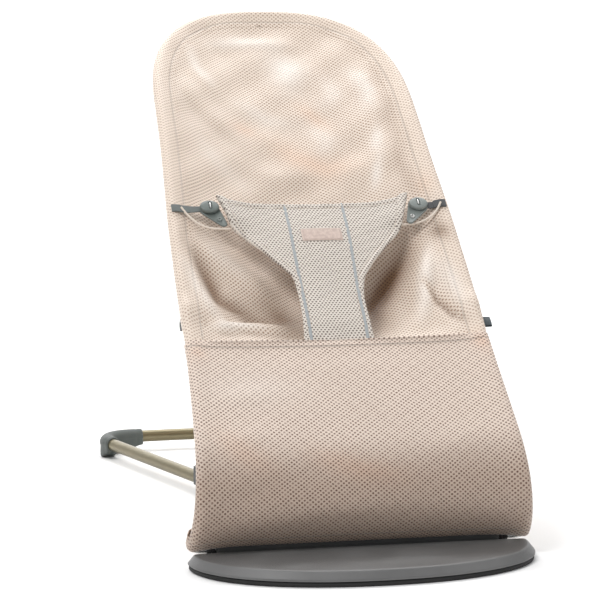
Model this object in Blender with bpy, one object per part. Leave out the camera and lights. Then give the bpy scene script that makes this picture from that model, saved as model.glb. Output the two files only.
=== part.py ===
"""Folding baby bouncer seat: sprung wire seat frame on a low base, mesh fabric
seat, restraint flap with two strap buttons, three-position rear strut.

Metres, +Z up.  Front of the seat (foot end) towards -Y, head end towards +Y.
The base stands on z = 0 and the seat is shown in its highest position.
"""
import math

import bmesh
import bpy
import numpy as np
from mathutils import Matrix, Vector

# ----------------------------------------------------------------- dimensions
GAP = 0.0003            # clearance between neighbouring pieces

# seat frame: a loop in one curved plane, from the hinge to the head
SEAT_LENGTH = 0.793     # along the curve, hinge end to head
SEAT_START = (-0.2796, 0.0228)          # (y, z) of the lower end
SEAT_ANGLES = ((0, 145.0), (1 / 6, 44.3), (1 / 3, 40.8), (1 / 2, 42.0),
               (2 / 3, 42.1), (5 / 6, 36.5), (1, 34.0))   # share of length, degrees above +Y
SEAT_HALF_WIDTH = ((0, 0.181), (0.15, 0.171), (0.30, 0.1655), (0.5, 0.1627),
                   (0.7, 0.1555), (1, 0.1506))            # outside of the cover
HEAD_CORNER = 0.235     # share of the length that the rounded head takes
HEAD_POWER = 2.63
COVER_WRAP = 0.007      # from the tube's middle to the outside of the cover
LOOP_R, LOOP_WALL = 0.005, 0.0012
WIRE_R = 0.004
S_PIVOT = 0.37          # where the side wires end and the upper loop begins
S_POCKET = 0.31         # top edge of the calf panel
S_BUTTON = 0.556

# base
PLATE_HALF_W, PLATE_MID_Y, PLATE_FRONT, PLATE_REAR = 0.181, -0.287, 0.108, 0.008
PLATE_Z0, PLATE_Z1 = 0.0050, 0.0155
PLATE_DRAFT = 0.007
HOUSING_Y0, HOUSING_Y1 = -0.2785, -0.2380
HOUSING_HALF = 0.1500
HOUSING_Z0, HOUSING_ZM, HOUSING_Z1 = 0.0050, 0.0160, 0.0290
TUBE_R, TUBE_WALL, TUBE_Z = 0.0075, 0.0013, 0.0180
REAR_Y, REAR_BOW = 0.3875, 0.010
CORNER_X = 0.190        # where rail and crossbar would meet
RAIL_BEND_Y = -0.055    # where the rails turn parallel
RAIL_END_X, RAIL_END_Y = 0.0600, -0.2560
FOOT_R = 0.0098

# strut
STRUT_LENGTH = 0.2259
STRUT_R = 0.0035
STRUT_Z = 0.0405        # height of its cross bar
STRUT_HALF = 0.119
STRUT_DROP = 0.020      # its pivot hangs this far under the seat tube
NOTCH_FOLDS = (0.0, 5.5, 11.0)          # degrees of recline at each notch
STRUT_RATE = 1.0906     # strut turns this much per degree of recline

# restraint flap
FLAP_S0, FLAP_S1 = 0.318, 0.577
BUTTON_X = 0.119
BUTTON_TRAVEL = 0.007


# ------------------------------------------------------------ curve functions
def pchip(knots):
    """Smooth curve through (x, y) knots that never overshoots them."""
    xk = np.array([k[0] for k in knots], float)
    yk = np.array([k[1] for k in knots], float)
    h, d = np.diff(xk), np.diff(yk) / np.diff(xk)
    m = np.zeros(len(xk))
    for i in range(1, len(xk) - 1):
        if d[i - 1] * d[i] > 0:
            w1, w2 = 2 * h[i] + h[i - 1], h[i] + 2 * h[i - 1]
            m[i] = (w1 + w2) / (w1 / d[i - 1] + w2 / d[i])

    def end(h0, h1, d0, d1):
        v = ((2 * h0 + h1) * d0 - h0 * d1) / (h0 + h1)
        if v * d0 <= 0:
            return 0.0
        return 3 * d0 if d0 * d1 <= 0 and abs(v) > 3 * abs(d0) else v
    m[0], m[-1] = end(h[0], h[1], d[0], d[1]), end(h[-1], h[-2], d[-1], d[-2])

    def at(x):
        x = np.asarray(x, float)
        i = np.clip(np.searchsorted(xk, x, side="right") - 1, 0, len(h) - 1)
        t = (x - xk[i]) / h[i]
        return ((1 + 2 * t) * (1 - t) ** 2 * yk[i] + t * (1 - t) ** 2 * h[i] * m[i]
                + t * t * (3 - 2 * t) * yk[i + 1] + t * t * (t - 1) * h[i] * m[i + 1])
    return at


angle_at = pchip(SEAT_ANGLES)
width_at = pchip(SEAT_HALF_WIDTH)
_S = np.linspace(0, 1, 1001)
_TH = np.radians(angle_at(_S))
_STEP = SEAT_LENGTH / 1000
_Y = SEAT_START[0] + np.concatenate([[0], np.cumsum(np.cos((_TH[1:] + _TH[:-1]) / 2)) * _STEP])
_Z = SEAT_START[1] + np.concatenate([[0], np.cumsum(np.sin((_TH[1:] + _TH[:-1]) / 2)) * _STEP])


def seat_dirs(s):
    """Tangent (towards the head) and normal (towards the child) in (y, z)."""
    a = math.radians(float(angle_at(min(max(s, 0), 1))))
    return (math.cos(a), math.sin(a)), (-math.sin(a), math.cos(a))


def seat_point(x, s, n=0.0):
    """World point at half-width x, share s of the length, n above the frame."""
    t, u = seat_dirs(s)
    over = (s - min(max(s, 0), 1)) * SEAT_LENGTH
    return Vector((x, float(np.interp(s, _S, _Y)) + over * t[0] + n * u[0],
                   float(np.interp(s, _S, _Z)) + over * t[1] + n * u[1]))


def outline(inset, count=60, start=0.0):
    """Right half of the seat's outline, inset in its own surface: (x, s) pairs
    from the lower end to the middle of the head."""
    low = np.linspace(start, 1 - HEAD_CORNER, 600)
    a = np.linspace(0, math.pi / 2, 400)[1:]
    u = np.sin(a) ** (2 / HEAD_POWER)
    high = 1 - HEAD_CORNER + HEAD_CORNER * u
    x = np.concatenate([width_at(low), width_at(high) * np.maximum(np.cos(a), 0) ** (2 / HEAD_POWER)])
    t = np.concatenate([low, high]) * SEAT_LENGTH
    dx, dt = np.gradient(x), np.gradient(t)
    norm = np.hypot(dx, dt)
    xi, ti = x - inset * dt / norm, t + inset * dx / norm
    keep = xi >= -1e-6
    xi, ti = xi[keep], ti[keep]
    xi[-1] = 0.0
    run = np.concatenate([[0], np.cumsum(np.hypot(np.diff(xi), np.diff(ti)))])
    # bends get more of the points than straights
    turn = np.abs(np.gradient(np.unwrap(np.arctan2(np.gradient(ti), np.gradient(xi)))))
    weight = run / run[-1] + 0.9 * np.cumsum(turn) / np.sum(turn)
    at = np.linspace(0, weight[-1], count)
    return np.interp(at, weight, xi), np.interp(at, weight, ti) / SEAT_LENGTH


def half_width(s, inset):
    x, t = _INSETS.setdefault(round(inset, 5), outline(inset, 400))
    return float(np.interp(s, t, x))


_INSETS = {}


def filleted(corners, radii, arc_points=6):
    """Points along a polyline whose corners are rounded to the given radii."""
    pts = [Vector(corners[0])]
    for i in range(1, len(corners) - 1):
        a, b, c = Vector(corners[i - 1]), Vector(corners[i]), Vector(corners[i + 1])
        u, v = (a - b).normalized(), (c - b).normalized()
        half = u.angle(v) / 2
        reach = radii[i - 1] / math.tan(half)
        mid = b + (u + v).normalized() * (radii[i - 1] / math.sin(half))
        p, q = b + u * reach, b + v * reach
        m, n = p - mid, q - mid
        sweep = m.angle(n)
        axis = m.cross(n).normalized()
        for k in range(arc_points + 1):
            pts.append(mid + Matrix.Rotation(sweep * k / arc_points, 3, axis) @ m)
    pts.append(Vector(corners[-1]))
    return pts


# ---------------------------------------------------------------- scene setup
for old in list(bpy.data.objects):
    bpy.data.objects.remove(old, do_unlink=True)
for old in list(bpy.data.meshes) + list(bpy.data.materials):
    (bpy.data.meshes if isinstance(old, bpy.types.Mesh) else bpy.data.materials).remove(old)

scene = bpy.context.scene


def material(name, colour, roughness, metallic=0.0):
    m = bpy.data.materials.new(name)
    m.use_nodes = True
    b = m.node_tree.nodes["Principled BSDF"]
    b.inputs["Base Color"].default_value = (*colour, 1)
    b.inputs["Roughness"].default_value = roughness
    b.inputs["Metallic"].default_value = metallic
    m.diffuse_color = (*colour, 1)
    return m


PLASTIC = material("grey_plastic", (0.13, 0.14, 0.14), 0.55)
DARK = material("black_plastic", (0.02, 0.02, 0.02), 0.6)
RUBBER = material("green_grey_rubber", (0.07, 0.085, 0.08), 0.75)
BRONZE = material("bronze_paint", (0.27, 0.24, 0.16), 0.38, 0.7)
STEEL = material("spring_steel", (0.62, 0.62, 0.60), 0.3, 1.0)
SCREW = material("screw_steel", (0.45, 0.45, 0.45), 0.35, 1.0)
MESH_FABRIC = material("rose_mesh", (0.80, 0.66, 0.55), 0.85)
FLAP_FABRIC = material("cream_spacer_mesh", (0.76, 0.72, 0.68), 0.9)
WEBBING = material("grey_webbing", (0.16, 0.19, 0.18), 0.8)
BUTTON = material("grey_green_plastic", (0.20, 0.23, 0.22), 0.45)
PATCH = material("rose_patch", (0.60, 0.47, 0.42), 0.8)


def empty(name, location, parent=None):
    e = bpy.data.objects.new(name, None)
    e.empty_display_size = 0.03
    e.location = location
    scene.collection.objects.link(e)
    if parent is not None:
        e.parent = parent
        e.matrix_parent_inverse = parent.matrix_world.inverted()
    return e


def hold(obj, parent):
    bpy.context.view_layer.update()
    obj.parent = parent
    obj.matrix_parent_inverse = parent.matrix_world.inverted()
    return obj


def add(name, bm, mat, smooth=35, recalc=True):
    if recalc:
        bmesh.ops.recalc_face_normals(bm, faces=bm.faces)
    me = bpy.data.meshes.new(name)
    bm.to_mesh(me)
    bm.free()
    if smooth:
        me.shade_smooth()
        me.set_sharp_from_angle(angle=math.radians(smooth))
    me.materials.append(mat)
    ob = bpy.data.objects.new(name, me)
    scene.collection.objects.link(ob)
    return ob


def bar(name, pts, radius, mat, wall=0.0, sides=2):
    """Round bar or open-ended tube along pts, as a bevelled curve."""
    cu = bpy.data.curves.new(name, "CURVE")
    cu.dimensions = "3D"
    cu.bevel_depth = radius
    cu.bevel_resolution = sides
    cu.use_fill_caps = wall == 0.0
    sp = cu.splines.new("POLY")
    sp.points.add(len(pts) - 1)
    for p, q in zip(sp.points, pts):
        p.co = (*q, 1)
    cu.materials.append(mat)
    ob = bpy.data.objects.new(name, cu)
    scene.collection.objects.link(ob)
    if wall:
        m = ob.modifiers.new("wall", "SOLIDIFY")
        m.thickness = wall
        m.offset = -1
    return ob


def bake(ob):
    """Turn a curve or modified object into a plain mesh object of the same name."""
    name = ob.name
    bpy.context.view_layer.update()
    graph = bpy.context.evaluated_depsgraph_get()
    me = bpy.data.meshes.new_from_object(ob.evaluated_get(graph), depsgraph=graph)
    mats = [s.material for s in ob.material_slots]
    mw = ob.matrix_world.copy()
    bpy.data.objects.remove(ob, do_unlink=True)
    me.name = name
    if not me.materials:
        for m in mats:
            me.materials.append(m)
    new = bpy.data.objects.new(name, me)
    new.matrix_world = mw
    scene.collection.objects.link(new)
    return new


def frame_matrix(origin, axis, up=(0, 0, 1)):
    """Matrix whose local z runs along axis."""
    z = Vector(axis).normalized()
    x = Vector(up).cross(z)
    if x.length < 1e-6:
        x = Vector((1, 0, 0)).cross(z)
    x.normalize()
    y = z.cross(x)
    m = Matrix((x, y, z)).transposed().to_4x4()
    m.translation = Vector(origin)
    return m


def cylinder(bm, origin, axis, r, length, sides=20, r2=None):
    """Cylinder from origin along axis."""
    z = Vector(axis).normalized()
    m = frame_matrix(Vector(origin) + z * length / 2, z)
    bmesh.ops.create_cone(bm, cap_ends=True, segments=sides, radius1=r,
                          radius2=r if r2 is None else r2, depth=length, matrix=m)


def solid(name, build, mat=None):
    bm = bmesh.new()
    build(bm)
    return add(name, bm, mat or PLASTIC)


CUTTERS = []


def combine(ob, build, operation):
    """Boolean ob with a helper shape drawn by build(bm)."""
    bm = bmesh.new()
    build(bm)
    tool = add(ob.name + "_cutter", bm, PLASTIC, smooth=0)
    tool.hide_render = True
    tool.display_type = "WIRE"
    m = ob.modifiers.new(operation.lower(), "BOOLEAN")
    m.operation = operation
    m.solver = "EXACT"
    m.object = tool
    CUTTERS.append(tool)
    return ob


def box(bm, lo, hi):
    lo, hi = Vector(lo), Vector(hi)
    m = Matrix.Translation((lo + hi) / 2) @ Matrix.Diagonal((*(hi - lo), 1))
    bmesh.ops.create_cube(bm, size=1, matrix=m)


def prism(bm, outline_pts, lift):
    """Extrude a closed outline (list of Vectors) by the vector lift."""
    a = [bm.verts.new(p) for p in outline_pts]
    b = [bm.verts.new(Vector(p) + Vector(lift)) for p in outline_pts]
    bm.faces.new(a)
    bm.faces.new(list(reversed(b)))
    for i in range(len(a)):
        j = (i + 1) % len(a)
        bm.faces.new((a[j], a[i], b[i], b[j]))


def hull_outline(circles, count=28):
    """Convex outline round circles given as (u, v, radius)."""
    pts = []
    for u, v, r in circles:
        for k in range(count):
            a = 2 * math.pi * k / count
            pts.append((u + r * math.cos(a), v + r * math.sin(a)))
    pts = sorted(set((round(p[0], 7), round(p[1], 7)) for p in pts))

    def half(seq):
        out = []
        for p in seq:
            while len(out) > 1 and ((out[-1][0] - out[-2][0]) * (p[1] - out[-2][1])
                                    - (out[-1][1] - out[-2][1]) * (p[0] - out[-2][0])) <= 1e-12:
                out.pop()
            out.append(p)
        return out[:-1]
    return half(pts) + half(reversed(pts))


# ------------------------------------------------------------- body empties
tan0, _ = seat_dirs(0)
HINGE = Vector((0, SEAT_START[0] - 0.0125 * tan0[0], SEAT_START[1] - 0.0125 * tan0[1]))
PIVOT = seat_point(0, S_PIVOT)
tanp, norp = seat_dirs(S_PIVOT)
STRUT_TOP = seat_point(0, S_PIVOT, -STRUT_DROP)
PIVOT_X = half_width(S_PIVOT, COVER_WRAP)

base = empty("base_origin", (0, 0, 0))
legs = empty("recline_axis", HINGE)
back = empty("bounce_axis", PIVOT)
strut = empty("strut_axis", STRUT_TOP)
bpy.context.view_layer.update()


# --------------------------------------------------------------- base plate
def half_moon(inset, count=34, rear=PLATE_REAR):
    """Closed outline of the plate, in order, inset by a distance."""
    a, bf, br = PLATE_HALF_W - inset, PLATE_FRONT - inset, max(rear - inset, 0.002)
    pts = []
    for k in range(count):
        t = math.pi * k / (count - 1)
        c, s = math.cos(t), math.sin(t)
        pts.append((a * math.copysign(abs(c) ** (2 / 2.15), c), PLATE_MID_Y - bf * s ** (2 / 2.15)))
    for k in range(1, 9):
        t = math.pi * k / 9
        c, s = -math.cos(t), math.sin(t)
        pts.append((a * math.copysign(abs(c) ** (2 / 3.0), c), PLATE_MID_Y + br * s ** (2 / 3.0)))
    return pts


def plate_top(bm):
    rings = [(0.0, PLATE_Z0), (0.0004, PLATE_Z0 + 0.0015), (PLATE_DRAFT - 0.0016, PLATE_Z1 - 0.0011),
             (PLATE_DRAFT, PLATE_Z1)]
    loops = []
    for inset, z in rings:
        loops.append([bm.verts.new((x, y, z)) for x, y in half_moon(inset)])
    inner = [bm.verts.new((x, y, PLATE_Z0)) for x, y in half_moon(0.0035)]
    ceiling = [bm.verts.new((x, y, PLATE_Z1 - 0.003)) for x, y in half_moon(0.0095)]
    n = len(inner)
    for a, b in zip(loops, loops[1:]):
        for i in range(n):
            j = (i + 1) % n
            bm.faces.new((a[i], a[j], b[j], b[i]))
    bm.faces.new(loops[-1])
    for a, b in ((loops[0], inner), (inner, ceiling)):
        for i in range(n):
            j = (i + 1) % n
            bm.faces.new((a[j], a[i], b[i], b[j]))
    bm.faces.new(list(reversed(ceiling)))


hold(solid("base_plate_top", plate_top, PLASTIC), base)

UNDER_Y1 = -0.2395      # rear edge of the underside plate


def under_outline(inset, count=30):
    pts = []
    a, bf = PLATE_HALF_W - inset, PLATE_FRONT - inset
    for k in range(count):
        t = math.pi * k / (count - 1)
        c, s = math.cos(t), math.sin(t)
        pts.append((a * math.copysign(abs(c) ** (2 / 2.15), c), PLATE_MID_Y - bf * s ** (2 / 2.15)))
    r = 0.030
    top = UNDER_Y1 - inset
    xw = HOUSING_HALF - inset
    for k in range(5):
        t = math.pi / 2 * k / 4
        pts.append((-xw + r - r * math.cos(t) + 0.0, top - r + r * math.sin(t)))
    for k in range(5):
        t = math.pi / 2 * k / 4
        pts.append((xw - r + r * math.sin(t), top - r + r * math.cos(t)))
    return pts


def underside(bm):
    prism(bm, [Vector((x, y, 0.0022)) for x, y in under_outline(0.0100)], (0, 0, 0.0025))


SCREWS = [(-0.1100, -0.2565), (0.1100, -0.2565), (-0.0300, -0.2565), (0.0300, -0.2565)]
under = solid("base_plate_underside", underside, DARK)
combine(under, lambda bm: [cylinder(bm, (x, y, 0.0), (0, 0, 1), 0.0017, 0.008, 12) for x, y in SCREWS],
        "DIFFERENCE")
hold(under, base)


def rim(bm):
    """Soft ring under the plate's edge that stands on the floor."""
    out, inn = under_outline(0.0012), under_outline(0.0097)
    for lo, hi in ((0.0, PLATE_Z0 - GAP),):
        rings = []
        for pts, z in ((out, hi), (out, lo), (inn, lo), (inn, hi)):
            rings.append([bm.verts.new((x, y, z)) for x, y in pts])
        n = len(out)
        for a, b in zip(rings, rings[1:] + rings[:1]):
            for i in range(n):
                j = (i + 1) % n
                bm.faces.new((a[i], a[j], b[j], b[i]))


hold(solid("base_rubber_rim", rim, DARK), base)

# ------------------------------------------------- base tube (bent U, hollow)
bow_r = (CORNER_X ** 2 + REAR_BOW ** 2) / (2 * REAR_BOW)
bow_mid = (0, REAR_Y - bow_r)


def bow(x):
    return bow_mid[1] + math.sqrt(bow_r ** 2 - x * x)


CORNER_Y = bow(CORNER_X)
right = [(RAIL_END_X, RAIL_END_Y, TUBE_Z), (RAIL_END_X, RAIL_BEND_Y, TUBE_Z),
         (CORNER_X, CORNER_Y, TUBE_Z), (0.10, bow(0.10), TUBE_Z), (0.0, REAR_Y, TUBE_Z)]
half_path = filleted(right, (0.10, 0.034, 0.9), 6)
mirror = [Vector((-p.x, p.y, p.z)) for p in reversed(half_path[:-1])]
BASE_PATH = half_path + mirror


def clean(path, least=0.002):
    out = [path[0]]
    for p in path[1:]:
        if (p - out[-1]).length > least:
            out.append(p)
    return out


BASE_PATH = clean(BASE_PATH)
tube = bar("base_tube", BASE_PATH, TUBE_R, BRONZE, TUBE_WALL)
tube = bake(tube)


def rail_point(side, y):
    """Middle of the rail at a given y on one side, and its direction."""
    pts = [p for p in half_path]
    for a, b in zip(pts, pts[1:]):
        if min(a.y, b.y) <= y <= max(a.y, b.y) and abs(a.y - b.y) > 1e-6 and a.x > 0.05:
            k = (y - a.y) / (b.y - a.y)
            p = a.lerp(b, k)
            d = (b - a).normalized()
            return Vector((side * p.x, p.y, p.z)), Vector((side * d.x, d.y, d.z))
    raise ValueError(y)


# housing on the plate's rear edge: holds tube ends and seat hinge wires
def housing(lo, hi):
    def build(bm):
        r = 0.006
        pts = []
        for cx, cy, a0 in ((HOUSING_HALF - r, HOUSING_Y1 - r, 0), (-HOUSING_HALF + r, HOUSING_Y1 - r, 90),
                           (-HOUSING_HALF + r, HOUSING_Y0 + r, 180), (HOUSING_HALF - r, HOUSING_Y0 + r, 270)):
            for k in range(4):
                t = math.radians(a0 + 30 * k)
                pts.append(Vector((cx + r * math.cos(t), cy + r * math.sin(t), lo)))
        prism(bm, pts, (0, 0, hi - lo))
    return build


def housing_bores(bm):
    for side in (-1, 1):
        cylinder(bm, (side * 0.1245, HINGE.y, HINGE.z), (side, 0, 0), WIRE_R + GAP, 0.04, 20)
        cylinder(bm, (side * RAIL_END_X, RAIL_END_Y - 0.0006, TUBE_Z), (0, 1, 0), TUBE_R + GAP, 0.05, 24)


lower = solid("hinge_housing_lower", housing(HOUSING_Z0, HOUSING_ZM), PLASTIC)
combine(lower, housing_bores, "DIFFERENCE")
combine(lower, lambda bm: [cylinder(bm, (x, y, 0.0), (0, 0, 1), 0.0017, 0.03, 12) for x, y in SCREWS],
        "DIFFERENCE")
upper = solid("hinge_housing_upper", housing(HOUSING_ZM + GAP, HOUSING_Z1), PLASTIC)
combine(upper, housing_bores, "DIFFERENCE")
combine(upper, lambda bm: [cylinder(bm, (x, y, 0.0), (0, 0, 1), 0.0017, 0.023, 12) for x, y in SCREWS],
        "DIFFERENCE")
hold(lower, base)
hold(upper, base)


def screw(x, y):
    def build(bm):
        prof = [(0.0, 0.0006), (0.0030, 0.0006), (0.0030, 0.0018), (0.0014, 0.0019), (0.0014, 0.0215), (0.0, 0.0222)]
        n = 10
        rings = []
        for r, z in prof:
            if r == 0:
                rings.append([bm.verts.new((x, y, z))])
            else:
                rings.append([bm.verts.new((x + r * math.cos(2 * math.pi * k / n),
                                            y + r * math.sin(2 * math.pi * k / n), z)) for k in range(n)])
        for a, b in zip(rings, rings[1:]):
            for k in range(n):
                j = (k + 1) % n
                if len(a) == 1:
                    bm.faces.new((a[0], b[k], b[j]))
                elif len(b) == 1:
                    bm.faces.new((a[j], a[k], b[0]))
                else:
                    bm.faces.new((a[j], a[k], b[k], b[j]))
    return build


for tag, (x, y) in zip(("left_outer", "right_outer", "left_inner", "right_inner"), SCREWS):
    hold(solid("housing_screw_" + tag, screw(x, y), SCREW), base)


def bushing(side):
    def build(bm):
        n = 20
        rings = []
        for r, x in ((0.0062, 0.1503), (0.0062, 0.1580), (0.0054, 0.1590), (WIRE_R + GAP, 0.1590),
                     (WIRE_R + GAP, 0.1503)):
            rings.append([bm.verts.new((side * x, HINGE.y + r * math.cos(2 * math.pi * k / n),
                                        HINGE.z + r * math.sin(2 * math.pi * k / n))) for k in range(n)])
        for a, b in zip(rings, rings[1:] + rings[:1]):
            for k in range(n):
                j = (k + 1) % n
                bm.faces.new((a[k], a[j], b[j], b[k]))
    return build


for side, tag in ((-1, "left"), (1, "right")):
    hold(solid("hinge_bushing_" + tag, bushing(side), DARK), base)


# rubber corner feet, each a D-section sleeve round the bent corner
def foot(side):
    line = clean(half_path)
    run = [0.0]
    for p, q in zip(line, line[1:]):
        run.append(run[-1] + (q - p).length)
    near = min(range(len(line)), key=lambda i: (line[i] - Vector((CORNER_X, CORNER_Y, TUBE_Z))).length)
    mid = run[near]

    def at(r):
        return Vector([float(np.interp(r, run, [p[k] for p in line])) for k in range(3)])
    lo, hi = mid - 0.042, mid + 0.048
    marks = [r for r in run if lo + 0.004 < r < hi - 0.004]
    marks += [r for r in (lo + 0.010, hi - 0.010) if min(abs(r - q) for q in marks) > 0.0015]
    marks = sorted([lo, lo + 0.0015, hi - 0.0015, hi] + marks)
    path = [at(r) for r in marks]

    def sole(r):
        """1 where the foot stands on the floor, less where it rises to the tube."""
        k = min(max((abs(r - mid) - 0.020) / ((0.028 if r > mid else 0.022)), 0.0), 1.0)
        k = k * k * (3 - 2 * k)
        return 1 - k * (1 - FOOT_R / TUBE_Z)

    section = []
    steps = 10
    for k in range(steps + 1):
        t = math.radians(-20 + 220 * k / steps)
        section.append((FOOT_R * math.cos(t), TUBE_Z + FOOT_R * math.sin(t)))
    section += [(-FOOT_R * 0.96, 0.0012), (-FOOT_R * 0.84, 0.0), (FOOT_R * 0.84, 0.0), (FOOT_R * 0.96, 0.0012)]
    hole = []
    for k in range(len(section)):
        t = math.radians(-28) + 2 * math.pi * k / len(section)
        hole.append(((TUBE_R + GAP) * math.cos(t), TUBE_Z + (TUBE_R + GAP) * math.sin(t)))

    def build(bm):
        outer, inner = [], []
        for i, p in enumerate(path):
            d = Vector((0, 0, 0))
            if i > 0:
                d += (p - path[i - 1]).normalized()
            if i < len(path) - 1:
                d += (path[i + 1] - p).normalized()
            d.normalize()
            nrm = Vector((-d.y, d.x, 0))
            shrink = 0.93 if i in (0, len(path) - 1) else 1.0
            outer.append([bm.verts.new((side * (p.x + nrm.x * u * shrink), p.y + nrm.y * u * shrink,
                                        TUBE_Z + (w - TUBE_Z) * (shrink if w > TUBE_Z - 0.004 else sole(marks[i]))))
                          for u, w in section])
            inner.append([bm.verts.new((side * (p.x + nrm.x * u), p.y + nrm.y * u, w)) for u, w in hole])
        n = len(section)
        for rings in (outer, inner):
            for a, b in zip(rings, rings[1:]):
                for k in range(n):
                    j = (k + 1) % n
                    bm.faces.new((a[k], a[j], b[j], b[k]))
        for o, i2 in ((outer[0], inner[0]), (outer[-1], inner[-1])):
            for k in range(n):
                j = (k + 1) % n
                bm.faces.new((o[k], o[j], i2[j], i2[k]))
    return build


for side, tag in ((-1, "left"), (1, "right")):
    hold(solid("rear_foot_" + tag, foot(side), RUBBER), base)


# --------------------------------------------------------- strut and notches
def fold_point(deg):
    """(y, z) of the strut's cross bar when the seat is folded by deg."""
    v = STRUT_TOP - HINGE
    r, a = math.hypot(v.y, v.z), math.atan2(v.z, v.y)
    b0 = math.asin((STRUT_TOP.z - STRUT_Z) / STRUT_LENGTH)
    f = math.radians(deg)
    return (HINGE.y + r * math.cos(a - f) + STRUT_LENGTH * math.cos(b0 - STRUT_RATE * f),
            HINGE.z + r * math.sin(a - f) - STRUT_LENGTH * math.sin(b0 - STRUT_RATE * f))


NOTCH_Y = [fold_point(f)[0] for f in NOTCH_FOLDS]
BAR_Y = NOTCH_Y[0]
BRACKET_Y = (NOTCH_Y[0] - 0.022, NOTCH_Y[-1] + 0.020)
BRACKET_TOP = STRUT_Z - 0.0055 - 0.0006


def bracket(side):
    a, _ = rail_point(side, BRACKET_Y[0])
    b, _ = rail_point(side, BRACKET_Y[1])
    d = (b - a).normalized()
    nrm = Vector((d.y, -d.x, 0)) * side
    h = 0.0110

    def build(bm):
        pts = []
        for p, sgn in ((a, -1), (b, 1)):
            corners = [(-h, 0.0), (h, 0.0)] if sgn < 0 else [(h, 0.0), (-h, 0.0)]
            for u, _ in corners:
                pts.append(p + nrm * u)
        prism(bm, [Vector((p.x, p.y, 0.0125)) for p in pts], (0, 0, BRACKET_TOP - 0.0125))
        bmesh.ops.bevel(bm, geom=[e for e in bm.edges if abs((e.verts[0].co - e.verts[1].co).normalized().z) > 0.9],
                        offset=0.004, segments=3, affect="EDGES")
    ob = solid("notch_bracket_" + tag_of(side), build, PLASTIC)

    def channel(bm):
        cylinder(bm, a - d * 0.02, d, TUBE_R + GAP, (b - a).length + 0.04, 24)
        s0, s1 = a - d * 0.02, b + d * 0.02
        w = TUBE_R - 0.0012
        prism(bm, [Vector((q.x, q.y, 0.0)) for q in (s0 - nrm * w, s0 + nrm * w, s1 + nrm * w, s1 - nrm * w)],
              (0, 0, TUBE_Z - 0.004))
    combine_sep(ob, channel)
    for i, y in enumerate(NOTCH_Y):
        c, _ = rail_point(side, y)
        combine(ob, lambda bm, c=c, y=y: cylinder(bm, (c.x - 0.03, y, BRACKET_TOP + 0.0035), (1, 0, 0), 0.0066, 0.06, 20),
                "DIFFERENCE")
    rivets = []
    for i in range(2):
        y = (NOTCH_Y[i] + NOTCH_Y[i + 1]) / 2
        c, _ = rail_point(side, y)
        rivets.append(c)
        combine(ob, lambda bm, c=c: (cylinder(bm, (c.x, c.y, BRACKET_TOP - 0.0016), (0, 0, 1), 0.0036, 0.01, 14)),
                "DIFFERENCE")
        combine(ob, lambda bm, c=c: (cylinder(bm, (c.x, c.y, TUBE_Z), (0, 0, 1), 0.0017, 0.02, 10)), "DIFFERENCE")
    return ob, rivets


def combine_sep(ob, build):
    """Cut with a helper made of overlapping shapes, one Boolean for each."""
    bm = bmesh.new()
    build(bm)
    parts = []
    left = set(bm.verts)
    while left:
        seed = left.pop()
        group, todo = {seed}, [seed]
        while todo:
            v = todo.pop()
            for e in v.link_edges:
                w = e.other_vert(v)
                if w not in group:
                    group.add(w)
                    todo.append(w)
        left -= group
        parts.append([([tuple(v.co) for v in f.verts]) for f in bm.faces if f.verts[0] in group])
    bm.free()
    for faces in parts:
        def again(b, faces=faces):
            made = {}
            for f in faces:
                vs = []
                for co in f:
                    key = tuple(round(c, 7) for c in co)
                    if key not in made:
                        made[key] = b.verts.new(co)
                    vs.append(made[key])
                b.faces.new(vs)
        combine(ob, again, "DIFFERENCE")


def tag_of(side):
    return "left" if side < 0 else "right"


ALL_RIVETS = []
for side in (-1, 1):
    ob, rivets = bracket(side)
    hold(ob, base)
    for i, c in enumerate(rivets):
        ALL_RIVETS.append(c)

        def rivet(bm, c=c):
            prof = [(0.0, TUBE_Z + 0.0042), (0.0014, TUBE_Z + 0.0046), (0.0014, BRACKET_TOP - 0.0013),
                    (0.0033, BRACKET_TOP - 0.0013), (0.0028, BRACKET_TOP - 0.0003), (0.0, BRACKET_TOP - 0.0002)]
            n = 12
            rings = []
            for r, z in prof:
                if r == 0:
                    rings.append([bm.verts.new((c.x, c.y, z))])
                else:
                    rings.append([bm.verts.new((c.x + r * math.cos(2 * math.pi * k / n),
                                                c.y + r * math.sin(2 * math.pi * k / n), z)) for k in range(n)])
            for a, b in zip(rings, rings[1:]):
                for k in range(n):
                    j = (k + 1) % n
                    if len(a) == 1:
                        bm.faces.new((a[0], b[k], b[j]))
                    elif len(b) == 1:
                        bm.faces.new((a[j], a[k], b[0]))
                    else:
                        bm.faces.new((a[j], a[k], b[k], b[j]))
        hold(solid("bracket_rivet_%s_%s" % (tag_of(side), ("front", "rear")[i]), rivet, SCREW), base)

combine(tube, lambda bm: [cylinder(bm, (c.x, c.y, TUBE_Z), (0, 0, 1), 0.0017, 0.02, 10) for c in ALL_RIVETS],
        "DIFFERENCE")
tube.data.shade_smooth()
hold(tube, base)

leg_dir = Vector((0, BAR_Y - STRUT_TOP.y, STRUT_Z - STRUT_TOP.z))
strut_corners = []
for side in (1, -1):
    ends = [(side * (PIVOT_X + 0.0035), STRUT_TOP.y, STRUT_TOP.z), (side * STRUT_HALF, STRUT_TOP.y, STRUT_TOP.z),
            (side * STRUT_HALF, BAR_Y, STRUT_Z)]
    strut_corners += ends if side > 0 else ends[::-1]
strut_path = clean(filleted(strut_corners, (0.009, 0.014, 0.014, 0.009), 5))
hold(bar("strut_bracket", strut_path, STRUT_R, STEEL), strut)


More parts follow.
